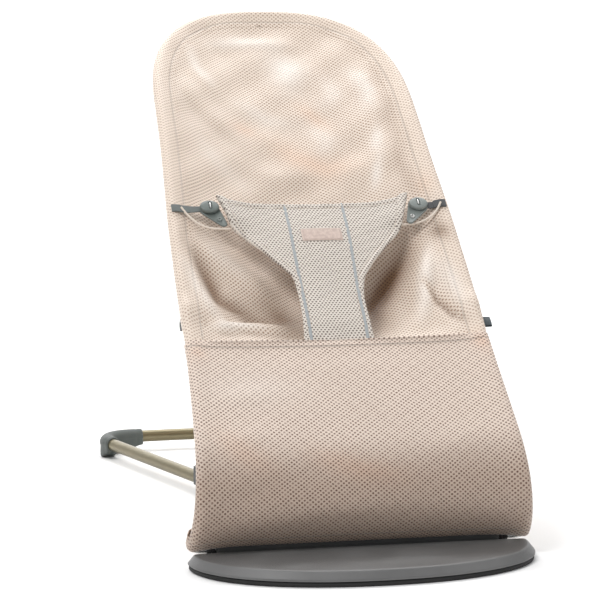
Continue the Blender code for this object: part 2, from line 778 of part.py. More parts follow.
def sleeve(side):
    def build(bm):
        n = 18
        x0, x1 = 0.062, 0.103
        rings = []
        for r, x in ((0.0055, x0 + 0.0006), (0.0055, x1 - 0.0006), (0.0049, x1), (STRUT_R + GAP, x1),
                     (STRUT_R + GAP, x0), (0.0049, x0)):
            rings.append([bm.verts.new((side * x, BAR_Y + r * math.cos(2 * math.pi * k / n),
                                        STRUT_Z + r * math.sin(2 * math.pi * k / n))) for k in range(n)])
        for a, b in zip(rings, rings[1:] + rings[:1]):
            for k in range(n):
                j = (k + 1) % n
                bm.faces.new((a[k], a[j], b[j], b[k]))
    return build


for side in (-1, 1):
    hold(solid("strut_sleeve_" + tag_of(side), sleeve(side), DARK), strut)

# --------------------------------------------- side wires (hinge to pivot)
BLOCK_R = 0.0064
BLOCK_HALF = 0.0045      # half width of the block, across the seat
WIRE_IN = 0.0125        # how far from the pivot the wire's end stays


def wire_path(side):
    pts = []
    bend = 0.010
    tx = half_width(0.0, COVER_WRAP)
    for x in (0.1255, 0.145, tx - bend):
        pts.append(Vector((side * x, HINGE.y, HINGE.z)))
    for k in range(1, 6):
        f = math.pi / 2 * k / 5
        along = bend * (1 - math.cos(f))
        pts.append(Vector((side * (tx - bend + bend * math.sin(f)), HINGE.y + along * tan0[0], HINGE.z + along * tan0[1])))
    xs, ss = outline(COVER_WRAP, 400)
    stop = S_PIVOT - WIRE_IN / SEAT_LENGTH
    marks = list(np.linspace(0.006, 0.17, 15)) + list(np.linspace(0.19, stop, 8))
    for s in marks:
        pts.append(seat_point(side * float(np.interp(s, ss, xs)), s))
    return pts


for side in (-1, 1):
    hold(bar("side_wire_" + tag_of(side), clean(wire_path(side)), WIRE_R, STEEL), legs)


def seat_frame_dir(side):
    """Direction of the seat tube at the pivot, towards the head."""
    a = seat_point(side * half_width(S_PIVOT - 0.01, COVER_WRAP), S_PIVOT - 0.01)
    b = seat_point(side * half_width(S_PIVOT + 0.01, COVER_WRAP), S_PIVOT + 0.01)
    return (b - a).normalized()


def pivot_block(side):
    x0, x1 = PIVOT_X - BLOCK_HALF, PIVOT_X + BLOCK_HALF
    d = seat_frame_dir(side)
    at = Vector((side * PIVOT_X, PIVOT.y, PIVOT.z))

    def body(bm):
        pts = hull_outline([(PIVOT.y, PIVOT.z, BLOCK_R), (STRUT_TOP.y, STRUT_TOP.z, 0.0064)])
        prism(bm, [Vector((side * x0, y, z)) for y, z in pts], (side * (x1 - x0), 0, 0))
    ob = solid("pivot_block_" + tag_of(side), body, PLASTIC)
    combine(ob, lambda bm: cylinder(bm, at - d * 0.0059, -d, 0.0059, 0.0216, 20), "UNION")
    combine(ob, lambda bm: cylinder(bm, at - d * (WIRE_IN - GAP), -d, WIRE_R + GAP, 0.04, 20), "DIFFERENCE")
    combine(ob, lambda bm: cylinder(bm, at - Vector((side * 0.03, 0, 0)), (side, 0, 0), 0.0028, 0.06, 16), "DIFFERENCE")
    combine(ob, lambda bm: cylinder(bm, (side * (x0 - 0.005), STRUT_TOP.y, STRUT_TOP.z), (side, 0, 0),
                                    STRUT_R + GAP, 0.03, 20), "DIFFERENCE")
    return ob


for side in (-1, 1):
    hold(pivot_block(side), legs)


def calf_sheet(inset, n, s0, s1, nx, ns, sag):
    """Grid of points across the lower seat, between the wires."""
    grid = []
    for i in range(ns + 1):
        s = s0 + (s1 - s0) * i / ns
        w = half_width(s, inset)
        if s > S_PIVOT - 0.050:
            w = min(w, PIVOT_X - 0.0090)
        row = []
        for j in range(nx + 1):
            u = -1 + 2 * j / nx
            row.append(seat_point(u * w, s, n - sag * (1 - u * u)))
        grid.append(row)
    return grid


def sheet(name, grid, thickness, mat):
    bm = bmesh.new()
    rows = [[bm.verts.new(p) for p in row] for row in grid]
    for a, b in zip(rows, rows[1:]):
        for j in range(len(a) - 1):
            bm.faces.new((a[j], a[j + 1], b[j + 1], b[j]))
    ob = add(name, bm, mat, recalc=False)
    m = ob.modifiers.new("thickness", "SOLIDIFY")
    m.thickness = thickness
    m.offset = 0
    return ob


hold(sheet("calf_panel_front", calf_sheet(0.0120, 0.0040, 0.006, S_POCKET, 6, 18, 0.0), 0.0020, MESH_FABRIC), legs)
hold(sheet("calf_panel_rear", calf_sheet(0.0120, -0.0040, 0.008, S_PIVOT - 0.024, 6, 18, 0.004), 0.0020, MESH_FABRIC), legs)


def side_tag(bm):
    w = half_width(0.335, 0.0) + 0.0004
    a = seat_point(w, 0.338, 0.003)
    t, u = seat_dirs(0.338)
    along = Vector((0, t[0], t[1]))
    pts = [a + along * 0.006, a + along * 0.006 + Vector((0.009, 0, 0)), a - along * 0.006 + Vector((0.009, 0, 0)),
           a - along * 0.006]
    prism(bm, pts, Vector((0, u[0], u[1])) * 0.0012)


hold(solid("side_tag", side_tag, DARK), legs)

# ------------------------------------------------------- upper loop and head
LOOP_START = 0.0160


def loop_path():
    xs, ss = outline(COVER_WRAP, 400)
    start = S_PIVOT + LOOP_START / SEAT_LENGTH
    low = np.linspace(start, 0.70, 8)
    half = [seat_point(float(np.interp(s, ss, xs)), s) for s in low]
    ox, os_ = outline(COVER_WRAP, 26, 0.72)
    half += [seat_point(float(x), float(s)) for x, s in zip(ox, os_) if s > 0.73]
    half[-1].x = 0.0
    half = clean(half, 0.004)
    return half + [Vector((-p.x, p.y, p.z)) for p in reversed(half[:-1])]


LOOP = loop_path()
hold(bar("seat_loop_tube", LOOP, LOOP_R, BRONZE, LOOP_WALL), back)


def loop_socket(side):
    d = seat_frame_dir(side)
    at = Vector((side * PIVOT_X, PIVOT.y, PIVOT.z))
    inner0, inner1 = PIVOT_X - BLOCK_HALF - GAP - 0.0021, PIVOT_X - BLOCK_HALF - GAP

    def body(bm):
        cylinder(bm, at + d * 0.0132, d, 0.0064, 0.025, 22)
    ob = solid("loop_socket_" + tag_of(side), body, PLASTIC)
    combine(ob, lambda bm: cylinder(bm, at - Vector((side * (BLOCK_HALF + GAP), 0, 0)), (side, 0, 0), BLOCK_R + 0.0005, 0.04, 32),
            "DIFFERENCE")

    def ear(bm):
        t = (PIVOT.y + tanp[0] * 0.024, PIVOT.z + tanp[1] * 0.024)
        pts = hull_outline([(PIVOT.y, PIVOT.z, 0.0054), (t[0], t[1], 0.0038)])
        prism(bm, [Vector((side * inner0, y, z)) for y, z in pts], (side * (inner1 - inner0), 0, 0))
    combine(ob, ear, "UNION")
    combine(ob, lambda bm: cylinder(bm, at + d * (LOOP_START - GAP), d, LOOP_R + GAP, 0.05, 24), "DIFFERENCE")
    combine(ob, lambda bm: cylinder(bm, at - Vector((side * 0.03, 0, 0)), (side, 0, 0), 0.0028, 0.06, 16), "DIFFERENCE")
    return ob


for side in (-1, 1):
    hold(loop_socket(side), back)


def pin(side):
    x_in, x_out = PIVOT_X - 0.0086, PIVOT_X + 0.0062

    def build(bm):
        n = 14
        prof = [(0.0, x_in), (0.0040, x_in), (0.0040, PIVOT_X - 0.0072), (0.0025, PIVOT_X - 0.0072),
                (0.0025, PIVOT_X + 0.0048), (0.0036, PIVOT_X + 0.0048), (0.0030, x_out), (0.0, x_out)]
        rings = []
        for r, x in prof:
            if r == 0:
                rings.append([bm.verts.new((side * x, PIVOT.y, PIVOT.z))])
            else:
                rings.append([bm.verts.new((side * x, PIVOT.y + r * math.cos(2 * math.pi * k / n),
                                            PIVOT.z + r * math.sin(2 * math.pi * k / n))) for k in range(n)])
        for a, b in zip(rings, rings[1:]):
            for k in range(n):
                j = (k + 1) % n
                if len(a) == 1:
                    bm.faces.new((a[0], b[k], b[j]))
                elif len(b) == 1:
                    bm.faces.new((a[j], a[k], b[0]))
                else:
                    bm.faces.new((a[j], a[k], b[k], b[j]))
    return build


for side in (-1, 1):
    hold(solid("pivot_pin_" + tag_of(side), pin(side), SCREW), back)

# seat cover: a hammock between the tubes
sag_at = pchip(((0.35, 0.010), (0.46, 0.040), (0.58, 0.034), (0.66, 0.029), (0.80, 0.022), (0.93, 0.010), (1.0, 0.004)))


def cover_grid():
    inset = COVER_WRAP + LOOP_R + 0.0022
    xs, ss = outline(inset, 500)
    top = float(ss[-1])
    rows = list(np.linspace(S_PIVOT + 0.012, 0.80, 11)) + list(0.80 + (top - 0.0008 - 0.80)
                                                              * np.sin(np.linspace(0, math.pi / 2, 9)[1:]))
    grid = []
    for s in rows:
        w = float(np.interp(s, ss, xs))
        if s < S_PIVOT + 0.06:
            w = min(w, PIVOT_X - 0.0125)
        depth = float(sag_at(s))
        row = []
        for j in range(11):
            u = -1 + 2 * j / 10
            u = math.copysign(abs(u) ** 0.85, u)
            row.append(seat_point(u * w, s, -depth * (1 - abs(u) ** 2.2) - 0.001))
        grid.append(row)
    return grid


hold(sheet("seat_cover", cover_grid(), 0.0030, MESH_FABRIC), back)

# restraint flap and what is on it
flap_half = pchip(((FLAP_S0, 0.0400), (0.36, 0.0405), (0.42, 0.0480), (0.48, 0.0700), (0.53, 0.0960), (FLAP_S1, 0.1060)))


def flap_mid(s):
    return 0.004 + 0.0015 * (s - FLAP_S0) / (FLAP_S1 - FLAP_S0)


def flap_grid():
    grid = []
    for s in np.linspace(FLAP_S0, FLAP_S1, 13):
        w = float(flap_half(s))
        grid.append([seat_point(flap_mid(s) + w * (-1 + 2 * j / 8), s) for j in range(9)])
    return grid


hold(sheet("restraint_flap", flap_grid(), 0.0024, FLAP_FABRIC), back)


def in_plane(x, s, dx, dt, n):
    """Point dx, dt (metres, across and towards the head) from (x, s)."""
    return seat_point(x + dx, s + dt / SEAT_LENGTH, n)


FLAP_MID_B = flap_mid(S_BUTTON)
TIP = Vector((0.50, -0.866))            # plate's long axis, inwards and down, right side mirrored


def plate_outline(side):
    cx, r0, tip = FLAP_MID_B + side * BUTTON_X, 0.0112, 0.0300
    pts = []
    ux, ut = -side * TIP.x, TIP.y
    a0 = math.atan2(ut, ux)
    for k in range(17):
        a = a0 + math.radians(68) + math.radians(224) * k / 16
        pts.append((cx + r0 * math.cos(a), r0 * math.sin(a)))
    for k in range(5):
        a = a0 - math.radians(50) + math.radians(100) * k / 4
        pts.append((cx + (tip - 0.003) * math.cos(a0) + 0.003 * math.cos(a),
                    (tip - 0.003) * math.sin(a0) + 0.003 * math.sin(a)))
    return pts, a0, cx


t_b, n_b = seat_dirs(S_BUTTON)
B0 = seat_point(0, S_BUTTON)
T3, N3 = Vector((0, t_b[0], t_b[1])), Vector((0, n_b[0], n_b[1]))


def on_button_plane(x, t, n):
    """Flat local plane at the button's station."""
    return Vector((x, 0, 0)) + Vector((0, B0.y, B0.z)) + T3 * t + N3 * n


PLATE_N0, PLATE_N1 = 0.0030, 0.0046


def keyhole_plate(side):
    pts, a0, cx = plate_outline(side)

    def body(bm):
        prism(bm, [on_button_plane(x, t, PLATE_N0) for x, t in pts], N3 * (PLATE_N1 - PLATE_N0))
    ob = solid("keyhole_plate_" + tag_of(side), body, BUTTON)

    def slot(bm):
        d = (math.cos(a0), math.sin(a0))
        c0, c1 = (cx - 0.0006 * d[0], -0.0006 * d[1]), (cx + d[0] * 0.0085, d[1] * 0.0085)
        pts2 = hull_outline([(c0[0], c0[1], 0.0027), (c1[0], c1[1], 0.0038)], 20)
        prism(bm, [on_button_plane(x, t, PLATE_N0 - 0.003) for x, t in pts2], N3 * 0.010)
    combine(ob, slot, "DIFFERENCE")
    return ob


def rivet_on_plate(side):
    pts, a0, cx = plate_outline(side)
    d = (math.cos(a0), math.sin(a0))
    c = on_button_plane(cx + d[0] * 0.0185, d[1] * 0.0185, PLATE_N1 + GAP)

    def build(bm):
        cylinder(bm, c, N3, 0.0026, 0.0012, 14, 0.0020)
    return solid("plate_rivet_" + tag_of(side), build, SCREW)


def strap_button(side):
    cx = FLAP_MID_B + side * BUTTON_X
    n0 = PLATE_N1 + GAP

    def build(bm):
        k_n = 26
        rings = []
        for f, n in ((0.90, n0), (1.0, n0 + 0.0012), (1.0, n0 + 0.0026), (0.93, n0 + 0.0040), (0.72, n0 + 0.0048)):
            rings.append([bm.verts.new(on_button_plane(cx + f * 0.0110 * math.cos(2 * math.pi * k / k_n),
                                                       f * 0.0080 * math.sin(2 * math.pi * k / k_n), n))
                          for k in range(k_n)])
        bm.faces.new(rings[0])
        bm.faces.new(list(reversed(rings[-1])))
        for a, b in zip(rings, rings[1:]):
            for k in range(k_n):
                j = (k + 1) % k_n
                bm.faces.new((a[k], a[j], b[j], b[k]))
    ob = solid("strap_button_" + tag_of(side), build, BUTTON)
    combine(ob, lambda bm: cylinder(bm, on_button_plane(cx, 0, PLATE_N0 - 0.0004), N3, 0.0021, 0.0045, 14), "UNION")
    return ob


BUTTON_DIRS = {}
for side in (-1, 1):
    hold(keyhole_plate(side), back)
    hold(rivet_on_plate(side), back)
    b = strap_button(side)
    origin = empty("button_axis_" + tag_of(side), on_button_plane(FLAP_MID_B + side * BUTTON_X, 0, PLATE_N1))
    hold(origin, back)
    bpy.context.view_layer.update()
    hold(b, origin)


def webbing(side):
    """Ribbon from the seat tube to the edge of the keyhole plate."""
    w0 = half_width(S_BUTTON, COVER_WRAP) - LOOP_R - 0.0010
    w1 = abs(FLAP_MID_B + side * BUTTON_X) + 0.0118

    def build(bm):
        h = 0.0055
        a = [on_button_plane(side * w1, -h, PLATE_N0 - 0.0002), on_button_plane(side * w0, -h, 0.0012),
             on_button_plane(side * w0, h, 0.0012), on_button_plane(side * w1, h, PLATE_N0 - 0.0002)]
        prism(bm, a, N3 * 0.0014)
    return solid("strap_webbing_" + tag_of(side), build, WEBBING)


for side in (-1, 1):
    hold(webbing(side), back)


def patch(bm):
    s = 0.485
    grid = []
    x0, x1 = flap_mid(s) - 0.0225, flap_mid(s) + 0.0225
    a = seat_point(x0, s - 0.0095 / SEAT_LENGTH, 0.0017)
    b = seat_point(x1, s - 0.0095 / SEAT_LENGTH, 0.0017)
    c = seat_point(x1, s + 0.0095 / SEAT_LENGTH, 0.0017)
    d = seat_point(x0, s + 0.0095 / SEAT_LENGTH, 0.0017)
    t, u = seat_dirs(s)
    prism(bm, [a, b, c, d], Vector((0, u[0], u[1])) * 0.0008)


hold(solid("flap_patch", patch, PATCH), back)

bpy.context.view_layer.update()
print("FOOT", [tuple(round(v, 5) for v in p) for p in clean(half_path) if p.x > 0.165 and p.y > 0.35])
print("HINGE", tuple(HINGE), "PIVOT", tuple(PIVOT), "STRUT_TOP", tuple(STRUT_TOP), "PIVOT_X", PIVOT_X)
print("NOTCH_Y", NOTCH_Y, "BAR", BAR_Y, "BRACKET_TOP", BRACKET_TOP, "B0", tuple(B0), "T3", tuple(T3), "N3", tuple(N3), "FLAP_MID_B", FLAP_MID_B)
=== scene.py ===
import math

import bmesh
import bpy
import numpy as np
from mathutils import Matrix, Vector


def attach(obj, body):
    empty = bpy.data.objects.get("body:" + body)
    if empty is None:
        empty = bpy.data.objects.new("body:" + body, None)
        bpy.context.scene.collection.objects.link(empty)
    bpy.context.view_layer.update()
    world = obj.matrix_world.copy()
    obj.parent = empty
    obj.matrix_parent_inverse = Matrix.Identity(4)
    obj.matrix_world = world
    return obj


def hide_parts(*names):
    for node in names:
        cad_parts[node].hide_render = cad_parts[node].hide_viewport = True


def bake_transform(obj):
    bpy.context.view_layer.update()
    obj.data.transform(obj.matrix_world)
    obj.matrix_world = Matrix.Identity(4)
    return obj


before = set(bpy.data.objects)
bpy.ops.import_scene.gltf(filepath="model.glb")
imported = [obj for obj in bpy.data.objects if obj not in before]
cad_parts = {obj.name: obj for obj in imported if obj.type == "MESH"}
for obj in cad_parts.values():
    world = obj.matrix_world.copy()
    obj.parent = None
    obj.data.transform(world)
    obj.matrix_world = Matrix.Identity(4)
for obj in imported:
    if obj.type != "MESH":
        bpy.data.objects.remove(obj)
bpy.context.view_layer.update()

# ---------------------------------------------------------------- seat geometry
# The same driving dimensions as the CAD: the seat is one curved plane, a share s
# of its length from the hinge end to the head, x across, n above the plane.
L = 0.793
START = (-0.2796, 0.0228)
ANGLES = ((0, 145.0), (1 / 6, 44.3), (1 / 3, 40.8), (1 / 2, 42.0), (2 / 3, 42.1), (5 / 6, 36.5), (1, 34.0))
HALF = ((0, 0.181), (0.15, 0.171), (0.30, 0.1655), (0.5, 0.1627), (0.7, 0.1555), (1, 0.1506))
HC, POWER = 0.235, 2.63
WRAP = 0.007
S_PIVOT, S_POCKET, S_BUTTON = 0.37, 0.313, 0.556
HINGE = Vector((0, -0.269361, 0.015630))


def pchip(knots):
    xk = np.array([k[0] for k in knots], float)
    yk = np.array([k[1] for k in knots], float)
    h, d = np.diff(xk), np.diff(yk) / np.diff(xk)
    m = np.zeros(len(xk))
    for i in range(1, len(xk) - 1):
        if d[i - 1] * d[i] > 0:
            w1, w2 = 2 * h[i] + h[i - 1], h[i] + 2 * h[i - 1]
            m[i] = (w1 + w2) / (w1 / d[i - 1] + w2 / d[i])

    def end(h0, h1, d0, d1):
        v = ((2 * h0 + h1) * d0 - h0 * d1) / (h0 + h1)
        if v * d0 <= 0:
            return 0.0
        return 3 * d0 if d0 * d1 <= 0 and abs(v) > 3 * abs(d0) else v
    if len(xk) > 2:
        m[0], m[-1] = end(h[0], h[1], d[0], d[1]), end(h[-1], h[-2], d[-1], d[-2])
    else:
        m[:] = d[0]

    def at(x):
        x = np.clip(np.asarray(x, float), xk[0], xk[-1])
        i = np.clip(np.searchsorted(xk, x, side="right") - 1, 0, len(h) - 1)
        t = (x - xk[i]) / h[i]
        return ((1 + 2 * t) * (1 - t) ** 2 * yk[i] + t * (1 - t) ** 2 * h[i] * m[i]
                + t * t * (3 - 2 * t) * yk[i + 1] + t * t * (t - 1) * h[i] * m[i + 1])
    return at


angle_at, width_at = pchip(ANGLES), pchip(HALF)
_S = np.linspace(0, 1, 2001)
_TH = np.radians(angle_at(_S))
_D = L / 2000
_Y = START[0] + np.concatenate([[0], np.cumsum(np.cos((_TH[1:] + _TH[:-1]) / 2)) * _D])
_Z = START[1] + np.concatenate([[0], np.cumsum(np.sin((_TH[1:] + _TH[:-1]) / 2)) * _D])


def place(x, t, n):
    """World points of arrays x across, t metres along and n above the seat's plane."""
    x, t, n = np.broadcast_arrays(np.asarray(x, float), np.asarray(t, float), np.asarray(n, float))
    s = t / L
    sc = np.clip(s, 0, 1)
    a = np.radians(angle_at(sc))
    over = (s - sc) * L
    y = np.interp(sc, _S, _Y) + over * np.cos(a) - n * np.sin(a)
    z = np.interp(sc, _S, _Z) + over * np.sin(a) + n * np.cos(a)
    return np.stack([x, y, z], axis=-1)


def dirs(s):
    a = math.radians(float(angle_at(min(max(s, 0), 1))))
    return Vector((0, math.cos(a), math.sin(a))), Vector((0, -math.sin(a), math.cos(a)))


def rim_dense():
    low = np.linspace(0, 1 - HC, 700)
    a = np.linspace(0, math.pi / 2, 500)[1:]
    high = 1 - HC + HC * np.sin(a) ** (2 / POWER)
    x = np.concatenate([width_at(low), width_at(high) * np.maximum(np.cos(a), 0) ** (2 / POWER)])
    t = np.concatenate([low, high]) * L
    dx, dt = np.gradient(x), np.gradient(t)
    k = np.hypot(dx, dt)
    ex, et = dt / k, -dx / k
    ex[-1], et[-1] = 0.0, 1.0
    return x, t, ex, et


RX, RT, REX, RET = rim_dense()


def rim(count, t0=0.0):
    """count stations along the right half outline: x, t and the outward direction."""
    keep = RT >= t0
    x, t, ex, et = RX[keep], RT[keep], REX[keep], RET[keep]
    run = np.concatenate([[0], np.cumsum(np.hypot(np.diff(x), np.diff(t)))])
    turn = np.abs(np.gradient(np.unwrap(np.arctan2(et, ex))))
    w = run / run[-1] + 0.5 * np.cumsum(turn) / np.sum(turn)
    at = np.linspace(w[0], w[-1], count)
    out = [np.interp(at, w, v) for v in (x, t, ex, et)]
    k = np.hypot(out[2], out[3])
    out[2], out[3] = out[2] / k, out[3] / k
    out[0][-1], out[2][-1], out[3][-1] = 0.0, 0.0, 1.0
    return out


CX, CT = RX - WRAP * REX, RT - WRAP * RET       # the side tube's middle
_keep = CX >= 0
CX, CT = CX[_keep], CT[_keep]


def tube_x(t):
    return np.interp(t, CT, CX)


def inward(x, t):
    """Distance from the side tube's middle line, inward, for arrays of points."""
    x, t = np.abs(np.asarray(x, float)), np.asarray(t, float)
    shape = x.shape
    p = np.stack([x.ravel(), t.ravel()], 1)
    line = np.stack([CX, CT], 1)[::4]
    out = np.empty(len(p))
    for i in range(0, len(p), 4000):
        d = np.hypot(p[i:i + 4000, None, 0] - line[None, :, 0], p[i:i + 4000, None, 1] - line[None, :, 1])
        out[i:i + 4000] = d.min(1)
    return out.reshape(shape)


def along(points):
    """Distance along a polyline of (x, s) and from it, for arrays x, t: used for folds."""
    pts = [(p[0], p[1] * L) for p in points]

    def at(x, t):
        best = np.full(np.shape(x), 1e9)
        share = np.zeros(np.shape(x))
        seg = [math.hypot(b[0] - a[0], b[1] - a[1]) for a, b in zip(pts, pts[1:])]
        total, done = sum(seg), 0.0
        for (a, b), length in zip(zip(pts, pts[1:]), seg):
            ux, ut = (b[0] - a[0]) / length, (b[1] - a[1]) / length
            k = np.clip((x - a[0]) * ux + (t - a[1]) * ut, 0, length)
            d = np.hypot(x - a[0] - k * ux, t - a[1] - k * ut)
            near = d < best
            best = np.where(near, d, best)
            share = np.where(near, (done + k) / total, share)
            done += length
        return best, share
    return at


def fold_field(folds):
    ready = [(along(pts), amp, wide) for pts, amp, wide in folds]

    def at(x, t):
        n = np.zeros(np.shape(x))
        for dist, amp, wide in ready:
            d, share = dist(x, t)
            taper = np.sin(np.pi * np.clip(0.12 + 0.76 * share, 0, 1))
            n = n + amp * taper * np.exp(-(d / wide) ** 2)
        return n
    return at


# folds of the hammock: the lines they run along, height and width
FOLDS = fold_field([
    ([(-0.141, 0.4965), (-0.132, 0.4635), (-0.122, 0.4312), (-0.117, 0.4075), (-0.096, 0.3967), (-0.071, 0.3806)], -0.0072, 0.010),
    ([(-0.138, 0.5126), (-0.105, 0.4819), (-0.076, 0.452), (-0.050, 0.419)], 0.0085, 0.016),
    ([(-0.148, 0.4642), (-0.139, 0.4167), (-0.128, 0.3798), (-0.117, 0.3568)], 0.0065, 0.009),
    ([(-0.130, 0.3445), (-0.099, 0.3606), (-0.064, 0.3645), (-0.035, 0.3629)], 0.0085, 0.007),
    ([(-0.110, 0.3700), (-0.077, 0.3780), (-0.050, 0.3810)], -0.0050, 0.005),
    ([(0.112, 0.5118), (0.096, 0.4781), (0.077, 0.4458), (0.059, 0.4113), (0.055, 0.3744)], -0.0110, 0.015),
    ([(0.138, 0.5264), (0.145, 0.5118), (0.149, 0.4957)], -0.0040, 0.007),
    ([(0.125, 0.4949), (0.119, 0.4527), (0.111, 0.4005), (0.100, 0.3599)], 0.0095, 0.010),
    ([(0.113, 0.4297), (0.123, 0.3944), (0.134, 0.3614), (0.147, 0.3400)], -0.0050, 0.005),
    ([(0.137, 0.4589), (0.142, 0.4082), (0.146, 0.3683)], 0.0055, 0.008),
    ([(0.117, 0.8572), (0.123, 0.7643), (0.122, 0.6807), (0.118, 0.6039)], -0.0030, 0.008),
    ([(0.100, 0.840), (0.104, 0.760), (0.102, 0.680), (0.100, 0.600)], 0.0034, 0.009),
    ([(-0.120, 0.8081), (-0.096, 0.7551), (-0.059, 0.7045)], -0.0026, 0.010),
    ([(-0.100, 0.905), (-0.095, 0.860), (-0.078, 0.810)], 0.0030, 0.009),
    ([(-0.060, 0.925), (-0.020, 0.930), (0.030, 0.925)], 0.0022, 0.010),
    ([(0.000, 0.900), (0.015, 0.865), (0.012, 0.830)], 0.0030, 0.020),
    ([(-0.072, 0.6722), (-0.011, 0.6531), (0.054, 0.6607), (0.106, 0.6676)], 0.0022, 0.014),
    ([(-0.060, 0.775), (-0.005, 0.745), (0.050, 0.770)], -0.0022, 0.014),
])
# how the same cloth is painted lighter and darker: painted highlights on the crests, painted brown shade in the hollows
PAINTED_LIGHT_AND_SHADE = fold_field([
    ([(-0.141, 0.4965), (-0.132, 0.4635), (-0.122, 0.4312), (-0.117, 0.4075), (-0.096, 0.3967), (-0.071, 0.3806)], -0.50, 0.010),
    ([(-0.060, 0.4100), (-0.045, 0.3850), (-0.040, 0.3620)], -0.40, 0.014),
    ([(-0.125, 0.500), (-0.092, 0.4700), (-0.070, 0.440)], 0.16, 0.014),
    ([(-0.148, 0.4642), (-0.139, 0.4167), (-0.128, 0.3798), (-0.117, 0.3568)], 0.22, 0.009),
    ([(-0.130, 0.3445), (-0.099, 0.3606), (-0.064, 0.3645)], 0.30, 0.006),
    ([(-0.110, 0.3700), (-0.077, 0.3780), (-0.050, 0.3810)], -0.30, 0.004),
    ([(0.112, 0.5118), (0.096, 0.4781), (0.077, 0.4458), (0.059, 0.4113), (0.055, 0.3744)], -0.62, 0.015),
    ([(0.138, 0.5264), (0.145, 0.5118), (0.149, 0.4957)], -0.45, 0.008),
    ([(0.125, 0.4949), (0.119, 0.4527), (0.111, 0.4005), (0.100, 0.3599)], 0.30, 0.010),
    ([(0.113, 0.4297), (0.123, 0.3944), (0.134, 0.3614), (0.147, 0.3400)], -0.50, 0.0035),
    ([(0.137, 0.4589), (0.142, 0.4082), (0.146, 0.3683)], 0.22, 0.009),
    ([(0.117, 0.8572), (0.123, 0.7643), (0.122, 0.6807), (0.118, 0.6039)], -0.16, 0.007),
    ([(-0.120, 0.8081), (-0.096, 0.7551), (-0.059, 0.7045)], -0.10, 0.010),
    ([(-0.070, 0.925), (-0.025, 0.933), (0.010, 0.925)], 0.30, 0.010),
    ([(-0.098, 0.905), (-0.095, 0.870), (-0.080, 0.835)], 0.26, 0.007),
    ([(0.006, 0.900), (0.016, 0.868), (0.014, 0.835)], 0.42, 0.019),
    ([(0.092, 0.860), (0.106, 0.815), (0.100, 0.775)], 0.32, 0.011),
    ([(0.060, 0.850), (0.066, 0.815), (0.050, 0.790)], 0.20, 0.011),
    ([(-0.050, 0.800), (-0.020, 0.770), (0.010, 0.760)], 0.22, 0.011),
    ([(0.030, 0.760), (0.045, 0.720), (0.035, 0.690)], 0.20, 0.012),
    ([(0.105, 0.730), (0.099, 0.699), (0.100, 0.680)], 0.34, 0.007),
    ([(0.098, 0.670), (0.093, 0.645), (0.088, 0.620)], 0.34, 0.006),
    ([(-0.110, 0.720), (-0.090, 0.670), (-0.060, 0.630)], 0.14, 0.012),
    ([(0.120, 0.680), (0.126, 0.630), (0.128, 0.580)], -0.16, 0.006),
])
# warm orange patches painted into the cloth as shade in its folds and corners
PAINTED_WARM_SHADE = fold_field([
    ([(-0.062, 0.757), (-0.048, 0.746), (-0.036, 0.738)], 0.55, 0.009),
    ([(0.020, 0.800), (0.041, 0.766), (0.052, 0.745)], 0.50, 0.009),
    ([(-0.014, 0.722), (0.009, 0.690), (0.040, 0.668), (0.066, 0.672)], 0.65, 0.015),
    ([(0.138, 0.620), (0.140, 0.585)], 0.40, 0.010),
    ([(-0.150, 0.300), (-0.158, 0.285)], 0.45, 0.009),
    ([(0.152, 0.312), (0.158, 0.285)], 0.60, 0.010),
    ([(-0.145, 0.160), (-0.120, 0.130), (-0.095, 0.110)], 0.40, 0.014),
    ([(-0.050, 0.130), (0.000, 0.105), (0.040, 0.095)], 0.45, 0.013),
])


def cloth_painted_light(x, t, calf):
    # painted light and shade of the cloth, one value a point: below zero painted shade, above zero painted highlight
    s = np.clip(t / L, 0, 1)
    # painted shade in the deep middle of the hammock
    hollow_shade = np.exp(-((s - 0.430) / 0.075) ** 2) * np.exp(-(x / 0.115) ** 4)
    gain = 1 + 0.45 * np.exp(-((s - 0.43) / 0.09) ** 2)
    out = (PAINTED_LIGHT_AND_SHADE(x, t) * gain - 0.16 * hollow_shade) * np.clip((s - 0.325) / 0.02, 0, 1)
    if calf:
        # the calf panel painted darker towards its bottom, as shade where it turns to face the floor
        low = np.clip((0.165 - s) / 0.085, 0, 1)
        out = out - 0.40 * low * low * (3 - 2 * low)
        # a soft painted highlight on the calf panel's left
        out = out + 0.10 * np.exp(-((s - 0.235) / 0.03) ** 2) * np.exp(-((x + 0.10) / 0.05) ** 2)
    return out


SAG = pchip(((0, 0.002), (0.03, 0.008), (0.08, 0.0098), (0.16, 0.0090), (0.28, 0.0065), (0.305, 0.0100), (0.345, 0.028), (0.42, 0.042), (0.50, 0.040),
             (0.60, 0.034), (0.70, 0.028), (0.80, 0.021), (0.90, 0.011), (0.97, 0.003), (1, 0.0)))
R_COVER = pchip(((0, 0.0052), (0.295, 0.0052), (0.335, 0.0064), (0.36, 0.0069), (0.43, 0.0068), (0.48, 0.0064), (1, 0.0064)))


def cover_n(x, t, q):
    """Height of the seat cover over the seat's plane; q is the distance in from the tube."""
    s = np.clip(t / L, 0, 1)
    u = np.clip(np.abs(x) / np.maximum(tube_x(t), 1e-4), 0, 1)
    r = R_COVER(s)
    swell = 1 + 0.62 * np.exp(-((s - S_PIVOT) * L / 0.012) ** 2)
    lift = 0.94 * r * (1 + (swell - 1)) * np.exp(-(np.maximum(q - 0.0026, 0) / 0.015) ** 1.25)
    inside = 1 - np.exp(-(q / 0.014) ** 2)
    ripple = 0.0009 * np.sin(x * 88 + 1.1) * np.sin(t * 61 + x * 30) + 0.0007 * np.sin(t * 97 - x * 70 + 0.4)
    upper = np.clip((s - 0.32) / 0.03, 0, 1)
    return -SAG(s) * (1 - u * u) ** 1.35 + lift + inside * upper * (FOLDS(x, t) + ripple)


